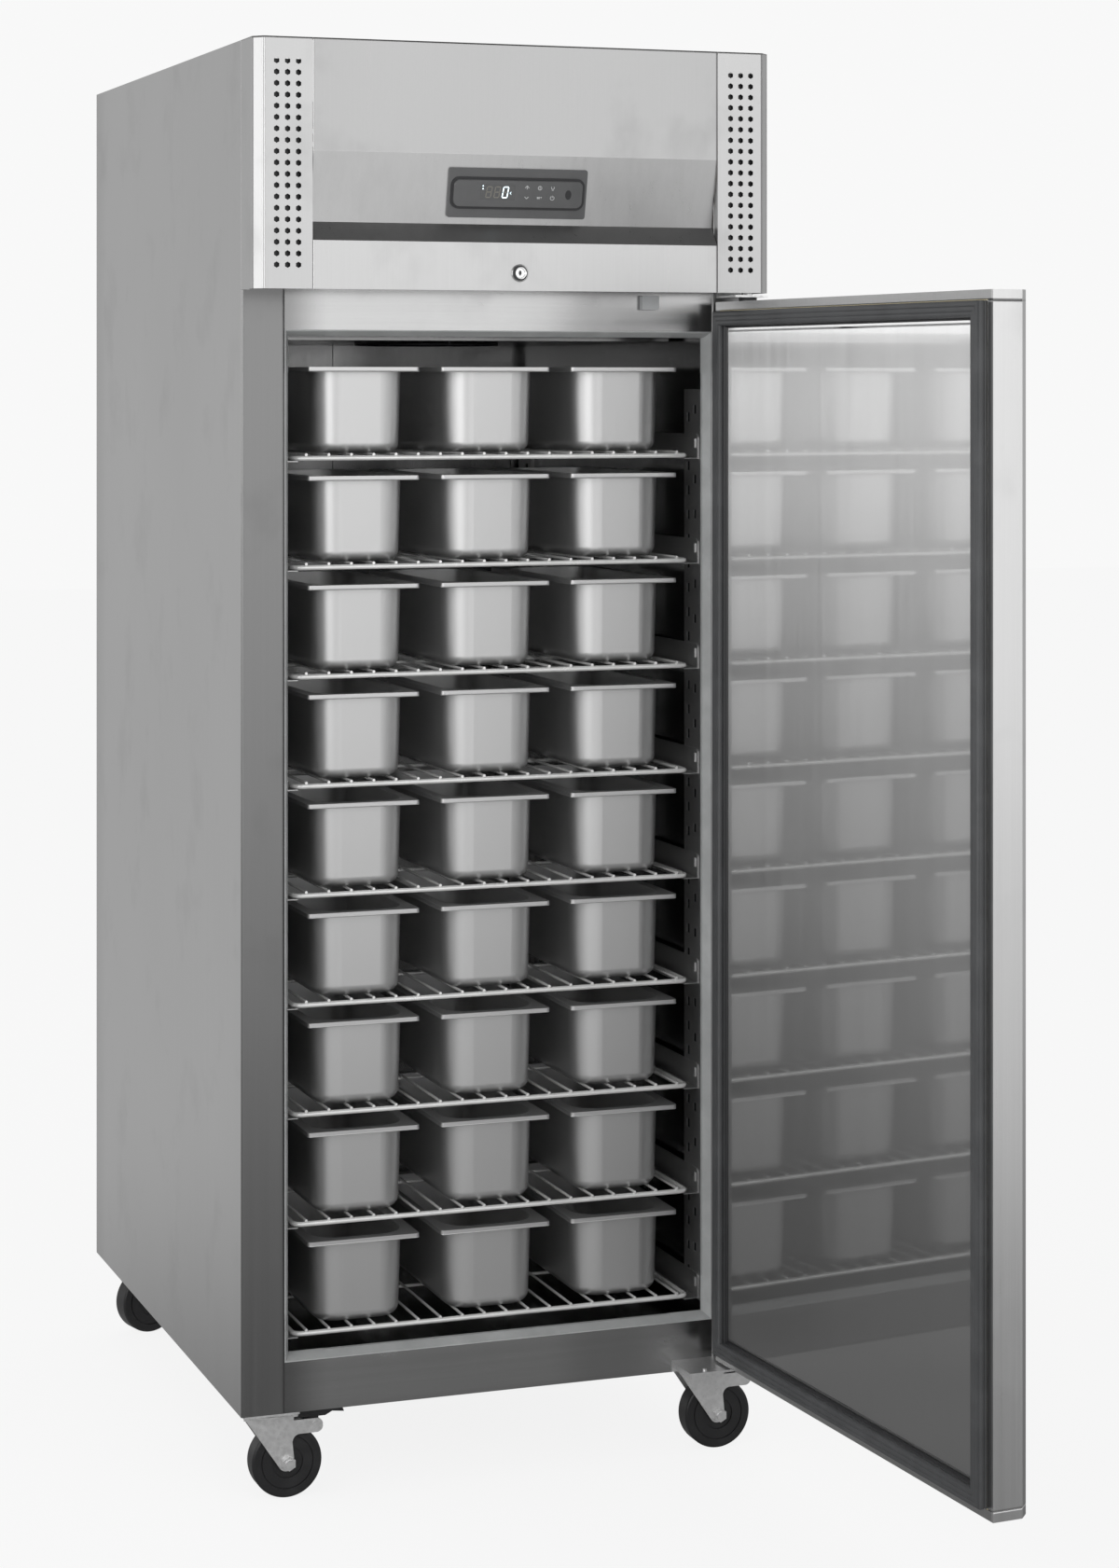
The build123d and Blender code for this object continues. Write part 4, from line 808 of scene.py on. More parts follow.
@dataclass
class Cabinet(Assembly):
    """The cabinet's shells, front frame, lining and the screws of its back."""

    screw_radius: float = 0.0042
    screw_rise: float = 0.0016
    screw_inset: float = 0.012
    corner_leg: float = 0.060
    strip_lift: float = 0.0004
    strip_reach: float = 0.0085
    overhang: tuple[float, float] = (-0.510, -0.4708)
    overhang_span: tuple[float, float] = (-0.3745, 0.2525)
    overhang_height: float = 1.6755

    def dress(self) -> None:
        """Give the cabinet's nodes their finishes."""
        dress(["side_panel_left", "side_panel_right"], STEEL_SIDE)
        dress(["rear_panel", "base_pan"], GALVANISED)
        dress(["face_frame"], STEEL_ACROSS)
        dress(["inner_liner", "air_duct_panels"], LINER)
        dress(["breaker_frame"], BREAKER)
        dress(["insulation"], FOAM)
        dress(["door_switch"], GREY_PLASTIC)

    def back_screws(self) -> None:
        """Domed screws round the edge of the back, each a turned profile a sixth of a ball high."""
        mesh = Mesh("back_screws")
        heights = np.linspace(BASE + 0.05, TOP - 0.05, 9)
        half = BODY_HALF - self.screw_inset
        places = [(side * half, height) for side in (-1, 1) for height in heights]
        places += [(x, height) for x in (-0.19, 0.0, 0.19) for height in (BASE + 0.02, TOP - 0.02)]
        shares = ((0.55, 0.92), (0.85, 0.62), (1.0, 0.15), (1.0, 0.0))
        profile = [(across * self.screw_radius, up * self.screw_rise) for across, up in shares]
        profile.insert(0, (0.0001, self.screw_rise))
        for x, z in places:
            mesh.grid(lathe(profile, (x, BACK, z), (0.0, 1.0, 0.0), 16), around=True, caps=True)
        mesh.finished(ZINC, slot="zinc")

    def corner_pieces(self) -> None:
        """Plastic corner pieces over the strips: the strip's profile, a little prouder, round each corner."""
        mesh = Mesh("breaker_corners")
        lift = self.strip_lift
        reach = self.strip_reach
        outer = [(0.0002, -lift), (0.0015, -lift), (reach + lift, 0.015 - lift), (reach + lift, 0.0218)]
        inner = [(reach - 0.0001, 0.0218), (reach - 0.0001, 0.0152), (0.0013, -0.0001), (0.0002, -0.0001)]
        profile = np.array(outer + inner)
        for side in (-1, 1):
            for edge, inward in ((SILL_TOP, 1), (OPENING_TOP, -1)):
                rows = []
                for leg_x, leg_z in ((self.corner_leg, 0.0), (0.0, 0.0), (0.0, self.corner_leg)):
                    across = np.where(leg_x > 0, leg_x, profile[:, 0])
                    up = np.where(leg_z > 0, leg_z, profile[:, 0])
                    x = side * (OPENING_HALF - across)
                    z = edge + inward * up
                    rows.append(np.stack([x + 0 * z, FRONT + profile[:, 1], z + 0 * x], axis=-1))
                mesh.grid(np.stack(rows), around=True, caps=True)
        mesh.finished(BREAKER, slot="grey_plastic")

    def canopy_underside(self) -> None:
        """The strip under the canopy's overhang: a sheet with its front edge folded up, carried along X."""
        fore, aft = self.overhang
        low = self.overhang_height
        sheet = MILLIMETRE
        section = [(fore, low + 8 * sheet), (fore, low), (aft, low), (aft, low + sheet)]
        section += [(fore + sheet, low + sheet), (fore + sheet, low + 8 * sheet)]
        rows = [np.insert(np.array(section), 0, x, axis=1) for x in np.linspace(*self.overhang_span, 6)]
        mesh = Mesh("canopy_underside")
        mesh.grid(np.stack(rows), around=True, caps=True).finished(STEEL_ACROSS, slot="stainless")

    def build(self) -> None:
        """Build the back's screws, the breaker frame's corner pieces and the canopy's underside."""
        self.back_screws()
        self.corner_pieces()
        self.canopy_underside()


@dataclass
class Canopy(Assembly):
    """The canopy's panels, its lock and the controller's graphics."""

    slope_recess: float = 0.021
    slope_rise: float = 0.096
    centre_height: float = 1.8108
    face_lift: float = 0.0075
    print_lift: float = 0.00006
    window_centre: tuple[float, float] = (-0.0307, 0.002)
    digits_middle: float = -0.0342
    digit_height: float = 0.0150
    digit_width: float = 0.0072
    digit_slant: float = 0.14
    segment: float = 0.0015
    digit_places: tuple[float, ...] = (-0.0095, 0.0025, 0.0146)
    mat_half: tuple[float, float] = (0.0270, 0.0014)
    mat_place: tuple[float, float] = (0.3336, -0.5335)
    mat_span: tuple[float, float] = (1.692, 1.9872)
    pane_half: tuple[float, float] = (0.0256, 0.0106)
    seal_outer: tuple[float, float, float] = (0.0984, 0.0224, 0.0120)
    seal_inner: tuple[float, float, float] = (0.0951, 0.0191, 0.0090)
    seal_span: tuple[float, float] = (0.0034, 0.0052)
    symbol_columns: tuple[float, float, float] = (0.012, 0.031, 0.050)
    symbol_rows: tuple[float, float] = (0.0089, -0.0049)
    symbol_size: float = 0.0028
    eye_place: tuple[float, float, float, float] = (0.0735, 0.0, 0.0046, 0.0068)
    gap_shade_outer: tuple[float, float, float, float] = (-0.0002, 0.0, 0.0110, 0.0110)
    gap_shade_inner: tuple[float, float, float, float] = (0.0013, 0.0, 0.0083, 0.0083)
    gap_shade_rise: float = 0.0034
    plug_face: float = -0.54345
    keyhole_half: tuple[float, float] = (0.0021, 0.0029)
    keyhole_share: float = 0.45
    keyhole_rise: float = 0.00015

    def dress(self) -> None:
        """Give the canopy's nodes their finishes."""
        dress(["fascia"], STEEL)
        dress(["vent_grilles"], GRILLE_STEEL)
        dress(["control_panel"], BEZEL)
        dress(["lock_housing", "lock_cylinder"], CHROME)

    def on_face(self, flat: np.ndarray, lift: float) -> np.ndarray:
        """Points of the controller's face in the row frame: right by u, up the slope by v, out by lift.

        Args:
            flat: Positions (u, v), of shape (..., 2).
            lift: The distance from the sheet's face.

        Returns:
            Positions of shape (..., 3).
        """
        length = math.hypot(self.slope_rise, self.slope_recess)
        normal = np.array([0.0, -self.slope_rise, -self.slope_recess]) / length
        up = np.array([0.0, -self.slope_recess, self.slope_rise]) / length
        share = (UPPER_FACE - self.centre_height) / self.slope_rise
        origin = np.array([0.0, CANOPY_FRONT + self.slope_recess * share, self.centre_height])
        right = np.array([1.0, 0.0, 0.0])
        return origin + flat[..., :1] * right + flat[..., 1:] * up + lift * normal

    def printed(self, name: str, shapes: Sequence[np.ndarray], finish: Finish, rise: float) -> None:
        """Flat marks on the face, each a thin prism of its outline.

        Args:
            name: The piece's name.
            shapes: Outlines, each of shape (n, 2).
            finish: The finish of the marks.
            rise: The height of the marks over the face.
        """
        mesh = Mesh(name)
        for shape in shapes:
            low = self.on_face(shape, self.face_lift - 0.0001)
            mesh.prism(low, self.on_face(shape, self.face_lift + rise))
        mesh.finished(finish)

    def segments(self, place: float, chosen: str) -> list[np.ndarray]:
        """The chosen segments of one slanted seven-segment digit.

        Args:
            place: The digit's middle from the window's middle.
            chosen: Letters a to g of the segments.

        Returns:
            Their six-cornered outlines.
        """
        half_w = self.digit_width / 2
        half_h = self.digit_height / 2
        ends = {
            "a": ((-half_w, half_h), (half_w, half_h)),
            "b": ((half_w, half_h), (half_w, 0.0)),
            "c": ((half_w, 0.0), (half_w, -half_h)),
            "d": ((half_w, -half_h), (-half_w, -half_h)),
            "e": ((-half_w, -half_h), (-half_w, 0.0)),
            "f": ((-half_w, 0.0), (-half_w, half_h)),
            "g": ((-half_w, 0.0), (half_w, 0.0)),
        }
        shapes = []
        for letter in chosen:
            start, end = (np.array(point) for point in ends[letter])
            along = (end - start) / np.linalg.norm(end - start)
            side = np.array([-along[1], along[0]]) * self.segment / 2
            inset = along * self.segment * 0.62
            tip = along * self.segment * 0.10
            near = [start + tip, start + inset + side, end - inset + side]
            far = [end - tip, end - inset - side, start + inset - side]
            shape = np.array(near + far)
            shape[:, 0] += shape[:, 1] * self.digit_slant + place
            shapes.append(shape + np.array([self.digits_middle, self.window_centre[1]]))
        return shapes

    def digits(self) -> None:
        """Build the unlit eights, the lit nought and the lamps of the display."""
        ghosts = []
        for place in self.digit_places[:2]:
            ghosts += self.segments(place, "abcdefg")
        ghosts += self.segments(self.digit_places[2], "g")
        self.printed("unlit_segments", ghosts, GHOST, self.print_lift)
        lit = self.segments(self.digit_places[2], "abcdef")
        for v in (0.0085, 0.0045):
            lit.append(disc(self.digits_middle - 0.0185, self.window_centre[1] + v, 0.0009, 0.0010))
        point = [(0.0008, 0.0016), (-0.0006, 0.0), (0.0008, -0.0016)]
        mark = stroke(point, self.digits_middle + 0.0222, self.window_centre[1] - 0.001)
        self.printed("lit_segments", lit + mark, LIT, self.print_lift * 2)

    def icons(self) -> None:
        """Build the printed key symbols: arrows, a clock, a lamp, SET and the power sign."""
        left, middle, right = self.symbol_columns
        high, low = self.symbol_rows
        lines = (
            ([(-1.0, 0.0), (0.0, 1.0), (1.0, 0.0)], left, high),
            ([(0.0, 0.6), (0.0, -0.7)], left, high),
            ([(-1.0, 0.4), (0.0, -0.6), (1.0, 0.4)], left, low),
            (circle(0.95), middle, high),
            ([(0.0, -0.5), (0.0, 0.6)], middle, high),
            (circle(0.75, 140.0, 400.0), right, high + self.symbol_size * 0.25),
            ([(-0.4, -0.95), (0.4, -0.95)], right, high),
            (circle(1.0, 120.0, 420.0), right, low),
            ([(0.0, 0.2), (0.0, 1.2)], right, low),
        )
        strokes: list[np.ndarray] = []
        for points, u, v in lines:
            strokes += stroke([(x * self.symbol_size, y * self.symbol_size) for x, y in points], u, v)
        letters = {
            "S": [(1, 1), (-1, 1), (-1, 0), (1, 0), (1, -1), (-1, -1)],
            "E": [(1, 1), (-1, 1), (-1, 0), (0.6, 0), (-1, 0), (-1, -1), (1, -1)],
            "T": [(-1, 1), (0, 1), (0, -1), (0, 1), (1, 1)],
        }
        for i, line in enumerate(letters.values()):
            points = [(x * 0.0008, y * 0.0010) for x, y in line]
            strokes += stroke(points, middle + (i - 1) * 0.0025, low)
        self.printed("key_symbols", strokes, PRINTED, self.print_lift)

    def eye(self) -> None:
        """Build the dark oval receiver at the module's right end."""
        self.printed("receiver_eye", [disc(*self.eye_place)], BLACK_PLASTIC, self.print_lift * 2)

    def window_pane(self) -> None:
        """Build the display's dull pane a hair over the module's face."""
        signs = np.array([(-1, -1), (1, -1), (1, 1), (-1, 1)])
        corners = signs * np.array(self.pane_half) + np.array(self.window_centre)
        low = self.on_face(corners, self.face_lift - 0.0002)
        Mesh("display_pane").prism(low, self.on_face(corners, self.face_lift + 0.00003)).finished(WINDOW)

    def mats(self) -> None:
        """Build the filter mats behind the grilles: a rounded strip that swells and thins up its height."""
        strip = rounded_rectangle(self.mat_half[0], self.mat_half[1], 0.0012, 4)
        heights = np.linspace(*self.mat_span, 46)
        swell = 1.0 + 0.25 * np.sin(heights * 2 * math.pi / 0.018)
        for side, name in ((-1, "left"), (1, "right")):
            y = self.mat_place[1] + strip[None, :, 1] * swell[:, None]
            x = np.broadcast_to(side * self.mat_place[0] + strip[:, 0], y.shape)
            z = np.broadcast_to(heights[:, None], y.shape)
            mesh = Mesh(f"filter_mat_{name}")
            mesh.grid(np.stack([x, y, z], axis=-1), around=True, caps=True).finished(BLACK_PLASTIC)

    def outline(self) -> None:
        """Build the black seal round the module: a ring of two rounded rectangles."""
        outer = rounded_rectangle(*self.seal_outer)
        inner = rounded_rectangle(*self.seal_inner)
        low, high = self.seal_span
        corners = ((outer, low), (outer, high), (inner, high), (inner, low))
        Mesh("module_seal").hoop([self.on_face(flat, lift) for flat, lift in corners]).finished(BLACK_PLASTIC)

    def rosette(self) -> None:
        """Build the lock's turned ring: a rounded outer edge, a groove and a raised inner lip."""
        profile = [(0.0067, 0.0004), (0.0067, 0.0027), (0.0071, 0.0031), (0.0078, 0.0031), (0.0081, 0.0027)]
        profile += [(0.0088, 0.0027), (0.0092, 0.0031), (0.0112, 0.0031), (0.0122, 0.0022), (0.0124, 0.0)]
        rings = lathe(profile, (0.0, CANOPY_FRONT, LOCK_HEIGHT), (0.0, -1.0, 0.0), 48)
        Mesh("lock_rosette").hoop(rings).finished(CHROME, slot="chrome")

    def lock_shade_ring(
        self, name: str, outer: np.ndarray, inner: np.ndarray, face: float, rise: float, body: str
    ) -> None:
        """A low black ring of painted shade on the lock's front, between two outlines.

        Args:
            name: The piece's name.
            outer: The outer outline to the right and up from the lock's middle, of shape (n, 2).
            inner: The inner outline, of the same shape.
            face: The place of the surface that it lies on.
            rise: Its height over that surface.
            body: The body that it rides on.
        """
        rows = []
        for flat, lift in ((outer, 0.0), (outer, rise), (inner, rise), (inner, 0.0)):
            depth = np.full(len(flat), face - lift)
            rows.append(np.stack([flat[:, 0], depth, LOCK_HEIGHT + flat[:, 1]], axis=-1))
        Mesh(name).hoop(rows).finished(BLACK_PLASTIC, body)

    def lock_gap_shade(self) -> None:
        """Build painted shade in the lock's gap: a dark ring whose inner circle lies off centre, so that it
        is wider at the left.
        """
        outer, inner = disc(*self.gap_shade_outer, 48), disc(*self.gap_shade_inner, 48)
        self.lock_shade_ring("lock_gap_shade", outer, inner, CANOPY_FRONT, self.gap_shade_rise, "cabinet")

    def keyhole(self) -> None:
        """Build painted shade for the keyhole on the turning plug, a dark ring between two ellipses."""
        outer = disc(0.0, 0.0, *self.keyhole_half)
        inner = outer * self.keyhole_share
        self.lock_shade_ring("keyhole_shade_ring", outer, inner, self.plug_face, self.keyhole_rise, "lock")

    def build(self) -> None:
        """Build the controller's graphics, the filter mats, the lock's rosette and the lock's rings of
        painted shade.
        """
        self.window_pane()
        self.digits()
        self.icons()
        self.eye()
        self.outline()
        self.mats()
        self.rosette()
        self.lock_gap_shade()
        self.keyhole()


def rounded_rectangle(half_u: float, half_v: float, radius: float, steps: int = 7) -> np.ndarray:
    """The outline of a rectangle with quarter circles at its corners.

    Args:
        half_u: Half its width.
        half_v: Half its height.
        radius: The corners' radius.
        steps: Points on each corner.

    Returns:
        Positions (u, v), of shape (4 * steps, 2).
    """
    quarter = np.linspace(0.0, math.pi / 2, steps)
    parts = []
    for i, (side_u, side_v) in enumerate(((1, 1), (-1, 1), (-1, -1), (1, -1))):
        turn = quarter + i * math.pi / 2
        centre = np.array([side_u * (half_u - radius), side_v * (half_v - radius)])
        parts.append(centre + radius * np.stack([np.cos(turn), np.sin(turn)], axis=-1))
    return np.concatenate(parts)


def disc(u: float, v: float, half_u: float, half_v: float, steps: int = 24) -> np.ndarray:
    """The outline of an ellipse: cosine along u and sine along v of an angle in equal steps."""
    turn = np.linspace(0.0, 2 * math.pi, steps, endpoint=False)
    return np.stack([u + half_u * np.cos(turn), v + half_v * np.sin(turn)], axis=-1)


def circle(
    radius: float, start: float = 0.0, end: float = 360.0, steps: int = 14
) -> list[tuple[float, float]]:
    """Points along an arc from a start to an end angle in degrees."""
    turn = np.radians(np.linspace(start, end, steps))
    return [(radius * math.cos(angle), radius * math.sin(angle)) for angle in turn]


def stroke(
    points: Sequence[tuple[float, float]], u: float, v: float, width: float = 0.0006
) -> list[np.ndarray]:
    """A drawn line as a row of thin rectangles, one for each run between two points.

    Args:
        points: The line's points about its own middle.
        u: Where its middle goes, to the right.
        v: Where its middle goes, up.
        width: The line's width.

    Returns:
        The rectangles' outlines.
    """
    line = np.array(points) + np.array([u, v])
    shapes = []
    for start, end in zip(line[:-1], line[1:]):
        along = (end - start) / np.linalg.norm(end - start)
        side = np.array([-along[1], along[0]]) * width / 2
        first, last = start - along * width / 3, end + along * width / 3
        shapes.append(np.array([first - side, last - side, last + side, first + side]))
    return shapes


@dataclass
class Door(Assembly):
    """The open door with its moulded seal."""

    pivot: tuple[float, float] = (0.352, -0.524)
    open_angle: float = 94.2
    half_width: float = 0.365
    low: float = 0.158
    high: float = 1.6485
    seat: float = -0.4867

    def dress(self) -> None:
        """Give the door's nodes their finishes."""
        dress(["door_skin"], DOOR_STEEL)
        dress(["door_foam"], FOAM)
        dress(["door_inner_panel"], DOOR_LINER)
        dress(["hinge_bushes"], BLACK_PLASTIC)
        dress(["hinge_brackets"], ZINC)

    def opened(self, points: np.ndarray) -> np.ndarray:
        """Points of the shut door turned about the hinge axis into the photographed position."""
        angle = math.radians(self.open_angle)
        x = points[..., 0] - self.pivot[0]
        y = points[..., 1] - self.pivot[1]
        turned_x = self.pivot[0] + x * math.cos(angle) - y * math.sin(angle)
        turned_y = self.pivot[1] + x * math.sin(angle) + y * math.cos(angle)
        return np.stack([turned_x, turned_y, points[..., 2]], axis=-1)

    def carried(self, profile: Sequence[tuple[float, float]]) -> list[np.ndarray]:
        """A profile carried round the door's rectangle, mitred at its four corners.

        Args:
            profile: Distances inwards and heights over the seat, in millimetres.

        Returns:
            The profile's points at each corner of the open door.
        """
        inward, height = np.array(profile).T * MILLIMETRE
        rows = []
        for side_x, side_z in ((-1, -1), (1, -1), (1, 1), (-1, 1)):
            x = side_x * (self.half_width - inward)
            z = self.low + inward if side_z < 0 else self.high - inward
            rows.append(self.opened(np.stack([x, self.seat + height, z], axis=-1)))
        return rows

    def seal(self) -> None:
        """Build the seal: a foot, folded bellows, a magnet pocket with a soft crown, and a thin outer lip."""
        profile = [
            (0.4, 0.3), (0.2, 3.0), (1.6, 4.2), (0.3, 5.6), (0.0, 8.0), (0.1, 11.0), (0.9, 13.2), (2.6, 14.4),
            (5.0, 14.7), (6.6, 14.5), (7.2, 13.8), (7.9, 14.5), (10.5, 14.7), (13.2, 14.5), (13.8, 13.8),
            (14.5, 14.5), (17.0, 14.5), (19.4, 13.6), (20.6, 11.8), (21.0, 9.0), (20.7, 6.4), (19.2, 5.2),
            (20.6, 4.0), (20.8, 1.8), (20.4, 0.3),
        ]
        mesh = Mesh("door_seal").hoop(self.carried(profile))
        mesh.finished(SEAL, "door", "gasket", ["door_gasket"], smooth=50.0)

    def groove(self) -> None:
        """Build a low black strip of painted shadow along the seal's inner edge, where it meets the panel."""
        # Painted shadow where the seal meets the panel.
        profile = [(20.3, 0.3), (20.3, 4.2), (22.6, 3.0), (24.2, 0.3)]
        Mesh("seal_shadow_strip").hoop(self.carried(profile)).finished(BLACK_PLASTIC, "door", "gasket")

    def build(self) -> None:
        """Build the seal and the painted shadow along its inner edge."""
        self.seal()
        self.groove()


@dataclass
class Racking(Assembly):
    """The uprights, runners, coated shelves and steel pans."""

    levels: int = 9
    first: float = 0.222
    pitch: float = 0.1524
    pan_lift: float = 0.0073
    pan_size: tuple[float, float, float] = (0.163, 0.360, 0.120)
    pan_pitch: float = 0.195
    pan_middle: float = -0.260
    lip: float = 0.0056
    bead: float = 0.0009
    corner: float = 0.005
    corner_steps: int = 7
    uprights: tuple[float, float] = (-0.440, 0.299)
    shade_strip_half: float = 0.0275
    shade_strip_place: float = 0.3145
    shade_strip_bow: float = 0.0012
    shade_strip_thickness: float = 0.0008
    shade_strip_span: tuple[float, float] = (0.218, 1.534)

    def dress(self) -> None:
        """Give the racking's nodes their finishes."""
        dress(["rack_uprights", "shelf_runners"], RACK_STEEL)
        dress([f"shelf_{level + 1}" for level in range(self.levels)], WIRE_COATING)
        dress([f"pans_{level + 1}" for level in range(self.levels)], PAN_STEEL)

    def rim_path(self) -> np.ndarray:
        """The rim's outline: four quarter circles of the corner radius, joined by straight runs."""
        return rounded_rectangle(self.pan_size[0] / 2, self.pan_size[1] / 2, self.corner, self.corner_steps)

    def beads(self) -> None:
        """Build the rolled lower edge of each pan's rim: a small circle carried round the rim's outline."""
        path = self.rim_path()
        ahead = np.roll(path, -1, axis=0) - np.roll(path, 1, axis=0)
        outward = np.stack([ahead[:, 1], -ahead[:, 0]], axis=-1)
        outward /= np.linalg.norm(outward, axis=1)[:, None]
        turn = np.linspace(0.0, 2 * math.pi, 8, endpoint=False)
        reach = self.bead * np.cos(turn) - self.bead * 0.55
        rise = self.bead * np.sin(turn)
        flat = path[:, None, :] + outward[:, None, :] * reach[None, :, None]
        height = self.pan_size[2] - self.lip + rise
        ring = np.concatenate([flat, np.broadcast_to(height[None, :, None], (*flat.shape[:2], 1))], axis=-1)
        for level in range(self.levels):
            mesh = Mesh(f"pan_beads_{level + 1}")
            for i in (-1, 0, 1):
                place = (i * self.pan_pitch, self.pan_middle, self.first + level * self.pitch + self.pan_lift)
                mesh.grid(ring + np.array(place), around=True, along=True)
            mesh.finished(PAN_STEEL, f"shelf_{level + 1}", "pan_steel")

    def slot_shade_strips(self) -> None:
        """Build dark strips of painted shade behind the uprights' slots: a strip bowed by a parabola, up each
        channel.
        """
        across = np.linspace(-1.0, 1.0, 9)
        near = self.shade_strip_place + self.shade_strip_bow * (1.0 - across ** 2)
        x = np.concatenate([near, (near + self.shade_strip_thickness)[::-1]])
        # Painted shade: dark sheets where the slots hold only shade.
        mesh = Mesh("slot_shade_strips")
        for side in (-1, 1):
            for start in self.uprights:
                y = start + 0.030 + self.shade_strip_half * across
                ring = np.stack([x * side, np.concatenate([y, y[::-1]]), 0 * x], axis=-1)
                low, high = (ring + np.array([0.0, 0.0, height]) for height in self.shade_strip_span)
                mesh.prism(low, high)
        mesh.finished(BLACK_PLASTIC)

    def build(self) -> None:
        """Build the pans' rolled edges and the painted-shade strips behind the uprights' slots."""
        self.beads()
        self.slot_shade_strips()


@dataclass
class Machinery(Assembly):
    """The refrigeration set on the deck and in the coil chamber."""

    fin_low: tuple[float, float] = (-0.1023, -0.4575)
    fin_grooves: int = 28
    fin_pitch: float = 0.010
    fin_pair: float = 0.0026
    fin_size: tuple[float, float] = (0.0003, 0.0075)
    fin_span: tuple[float, float] = (DECK_TOP + 0.001, 1.891)
    block_depth: float = 0.0675

    def dress(self) -> None:
        """Give the machinery's nodes their finishes."""
        dress(["compressor"], ENAMEL)
        dress(["condenser", "evaporator"], FIN_STOCK)
        dress(["condenser_fan", "evaporator_fan", "fan_mounts"], BLACK_PLASTIC)
        dress(["electrical_box"], GREY_PLASTIC)
        dress(["refrigerant_pipes"], COPPER)

    def fins(self) -> None:
        """Build the condenser's thin fins, two in each groove of its block and on both of its faces."""
        mesh = Mesh("condenser_fins")
        grooves = self.fin_low[0] + np.arange(self.fin_grooves)[:, None] * self.fin_pitch
        x = (grooves + np.array([0.0, self.fin_pair])[None, :]).reshape(-1)
        for y in (self.fin_low[1], self.fin_low[1] + self.block_depth):
            low = np.stack([x, np.full_like(x, y), np.full_like(x, self.fin_span[0])], axis=-1)
            high = low + np.array([*self.fin_size, self.fin_span[1] - self.fin_span[0]])
            for pair in boxes(low, high):
                mesh.grid(pair, around=True, caps=True)
        mesh.finished(FIN_STOCK, slot="fins")

    def build(self) -> None:
        """Build the fins."""
        self.fins()


@dataclass
class Castors(Assembly):
    """The four castors."""

    names: tuple[str, ...] = ("front_left", "front_right", "rear_left", "rear_right")

    def dress(self) -> None:
        """Give the castors' nodes their finishes."""
        dress(["castor_plates"], ZINC)
        dress([f"castor_fork_{name}" for name in self.names], ZINC)
        dress([f"castor_wheel_{name}" for name in self.names], TYRE)
        dress([f"brake_pedal_{name}" for name in self.names[:2]], BLACK_PLASTIC)


@dataclass(frozen=True)
class Softbox:
    """One soft lamp: its place, the point that it faces, its width and height, and its power in watts."""

    name: str
    place: tuple[float, float, float]
    aim: tuple[float, float, float]
    size: tuple[float, float]
    power: float


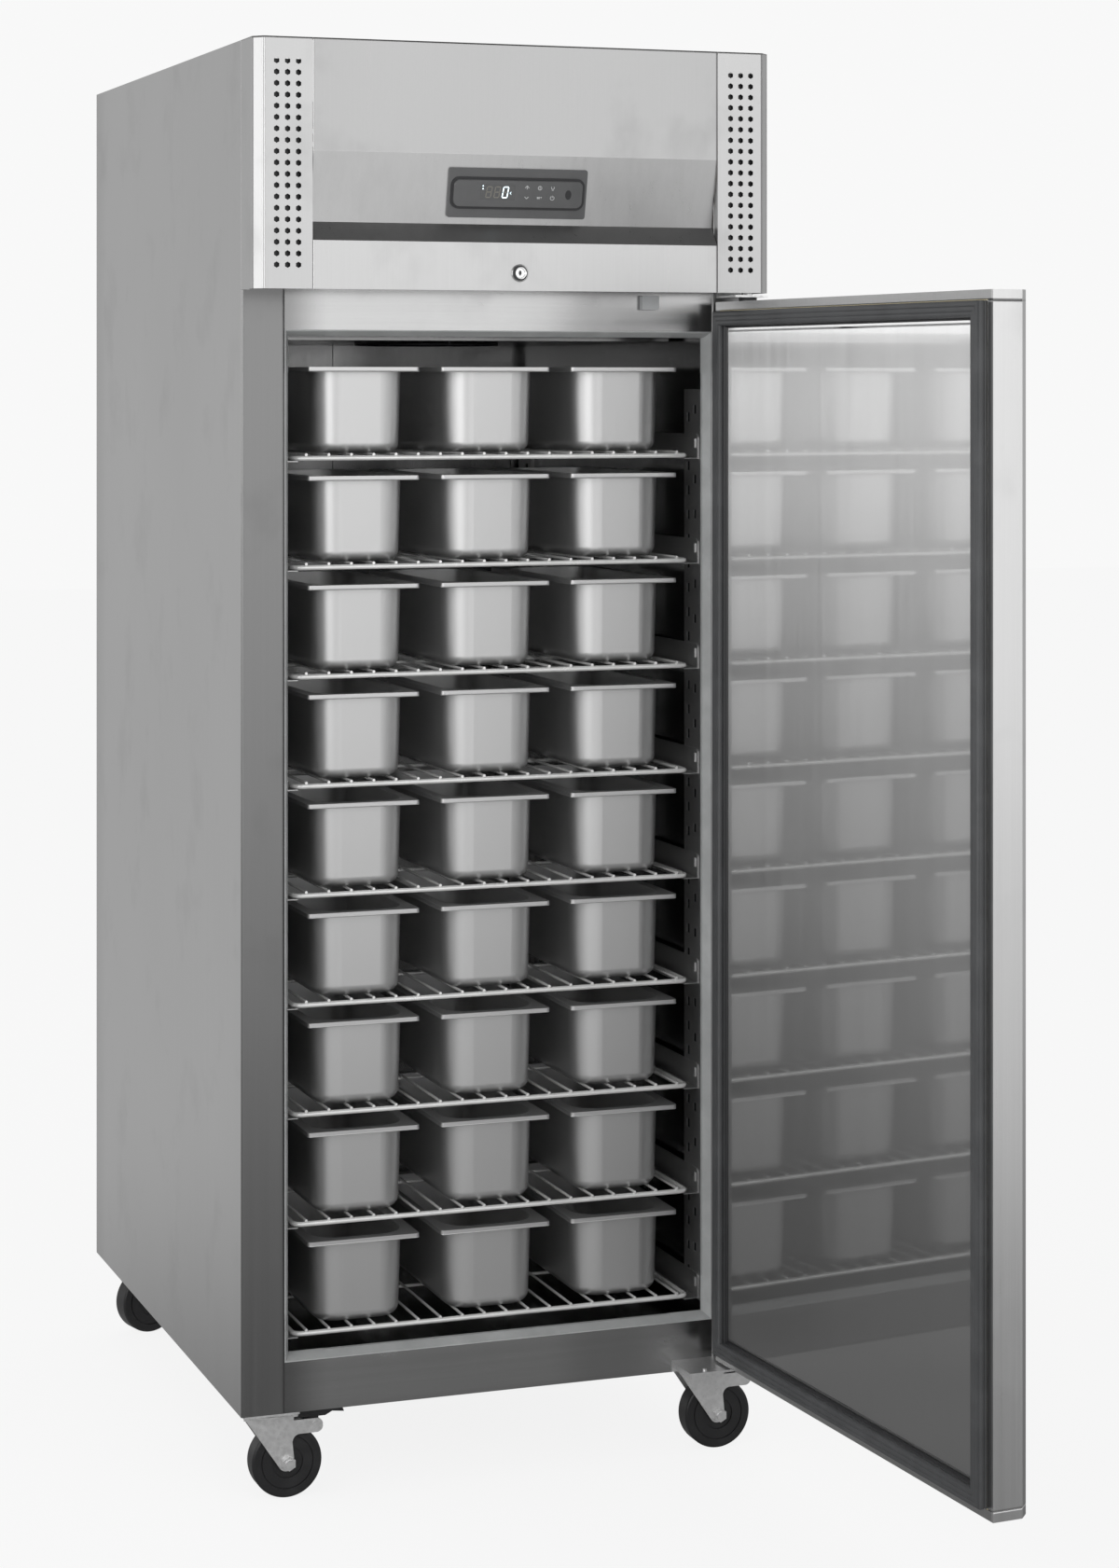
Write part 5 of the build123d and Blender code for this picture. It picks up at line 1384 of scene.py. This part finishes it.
@dataclass
class Studio:
    """The plain floor, the soft lights, the white surroundings and the camera."""

    floor_size: float = 40.0
    surroundings: float = 0.62
    plain_white: float = 0.94
    floor_white: float = 0.86
    glossy_high: float = 0.10
    glossy_level: float = 0.62
    floor_near: float = 0.12
    floor_behind: float = 0.55
    floor_ahead: float = 0.95
    floor_aside: float = 0.55
    floor_tone: float = 0.80
    floor_mirrored_shade: float = 0.62
    camera_place: tuple[float, float, float] = (-1.545593, -4.974328, 1.547579)
    camera_turn: float = -19.898
    lens: float = 77.47
    shift: float = -0.2564
    boxes: tuple[Softbox, ...] = (
        Softbox("front_box", (1.6, -5.0, 3.12), (1.6, 0.0, 3.12), (3.8, 2.8), 30.5),
        Softbox("front_card", (1.6, -5.0, 1.12), (1.6, 0.0, 1.12), (3.8, 1.16), 8.3),
        Softbox("left_box", (-3.4, -0.9, 2.1), (-0.3, -0.55, 1.8), (2.2, 1.8), 18.0),
        Softbox("window_box", (-3.3, -4.1, 2.3), (0.0, -0.6, 1.5), (3.0, 2.8), 44.0),
    )

    def camera(self) -> None:
        """Place the camera at the photograph's viewpoint."""
        data = bpy.data.cameras.new("camera")
        data.sensor_fit = "VERTICAL"
        data.sensor_height = 36.0
        data.sensor_width = 32.0
        data.lens = self.lens
        data.shift_y = self.shift
        data.clip_end = 60.0
        camera = bpy.data.objects.new("camera", data)
        camera.location = self.camera_place
        camera.rotation_euler = (math.radians(90.0), 0.0, math.radians(self.camera_turn))
        bpy.context.scene.collection.objects.link(camera)
        bpy.context.scene.camera = camera

    def ray(self, graph: Graph, kind: str) -> Value:
        """Whether the ray is of a kind that a Light Path node names."""
        return graph.node("ShaderNodeLightPath", output=kind)

    def looked_at(self, graph: Graph) -> Value:
        """Whether the ray comes from the camera, straight or through glass."""
        return graph.math("MAXIMUM", self.ray(graph, "Is Camera Ray"), self.ray(graph, "Is Transmission Ray"))

    def background(self, graph: Graph, strength: Value | float) -> Value:
        """A white background of a strength."""
        return graph.node("ShaderNodeBackground", None, {"Color": (1, 1, 1, 1), "Strength": strength})

    def world(self) -> None:
        """Make the surroundings: soft grey light, white where looked at, a darker ceiling where mirrored."""
        world = bpy.data.worlds.new("studio")
        bpy.context.scene.world = world
        world.use_nodes = True
        graph = Graph(world.node_tree)
        way = graph.node("ShaderNodeTexCoord", output="Generated")
        height = graph.node("ShaderNodeSeparateXYZ", None, {"Vector": way}, "Z")
        mirrored = graph.ramp(height, 0.1, 0.9, self.glossy_level, self.glossy_high)
        glossy = self.ray(graph, "Is Glossy Ray")
        soft = self.background(graph, mirrored * glossy + (1.0 - glossy) * self.surroundings)
        white = self.background(graph, self.plain_white)
        mixed = graph.node("ShaderNodeMixShader", None, {0: self.looked_at(graph), 1: soft, 2: white})
        graph.end(mixed, "ShaderNodeOutputWorld")

    def floor(self) -> None:
        """Lay the floor: pale, whitened where looked at with its shadow kept; where mirrored it carries
        painted shade near the cabinet and painted light ahead of it.
        """
        half = self.floor_size / 2
        corners = [(-half, -half, 0), (half, -half, 0), (half, half, 0), (-half, half, 0)]
        data = bpy.data.meshes.new("floor")
        data.from_pydata(corners, [], [(0, 1, 2, 3)])
        floor = bpy.data.objects.new("floor", data)
        bpy.context.scene.collection.objects.link(floor)
        material = bpy.data.materials.new("pale_floor")
        material.use_nodes = True
        graph = Graph(material.node_tree)
        glossy = self.ray(graph, "Is Glossy Ray")
        # Painted shade: the floor in reflections is darker than its own tone.
        tone = self.floor_tone - glossy * self.floor_mirrored_shade
        pale = graph.node("ShaderNodeBsdfDiffuse", None, {"Color": tone})
        white = graph.node("ShaderNodeEmission", None, {"Color": (1, 1, 1, 1), "Strength": 1.0})
        # Painted shade near and behind the cabinet, painted light far ahead of it, for the floor in
        # reflections.
        behind = graph.ramp(graph.axis("Y"), -1.0, 2.0, self.floor_near, self.floor_behind)
        aside = graph.ramp(graph.axis("X"), 1.3, 1.9, 1.0, self.floor_aside)
        ahead = graph.ramp(graph.axis("Y"), -2.6, -3.8, 0.0, self.floor_ahead)
        mirrored = behind + ahead * aside
        share = graph.math("MAXIMUM", self.looked_at(graph) * self.floor_white, glossy * mirrored)
        mixed = graph.node("ShaderNodeMixShader", None, {0: share, 1: pale, 2: white})
        graph.end(mixed)
        data.materials.append(material)

    def lamp(self, box: Softbox) -> None:
        """Hang one soft box.

        Args:
            box: The soft box.
        """
        data = bpy.data.lights.new(box.name, "AREA")
        data.shape = "RECTANGLE"
        data.size, data.size_y = box.size
        data.energy = box.power
        lamp = bpy.data.objects.new(box.name, data)
        way = Vector(box.aim) - Vector(box.place)
        lamp.location = box.place
        lamp.rotation_euler = way.to_track_quat("-Z", "Y").to_euler()
        bpy.context.scene.collection.objects.link(lamp)

    def build(self) -> None:
        """Build the whole studio."""
        self.camera()
        self.world()
        self.floor()
        for box in self.boxes:
            self.lamp(box)
        bpy.context.scene.view_settings.view_transform = "Standard"


def main() -> None:
    """Dress and build each sub-assembly, then the studio."""
    logging.basicConfig(level=logging.INFO, format="%(message)s")
    for assembly in (Cabinet(), Canopy(), Door(), Racking(), Machinery(), Castors()):
        assembly.dress()
        assembly.build()
    Studio().build()


if __name__ == "__main__":
    main()
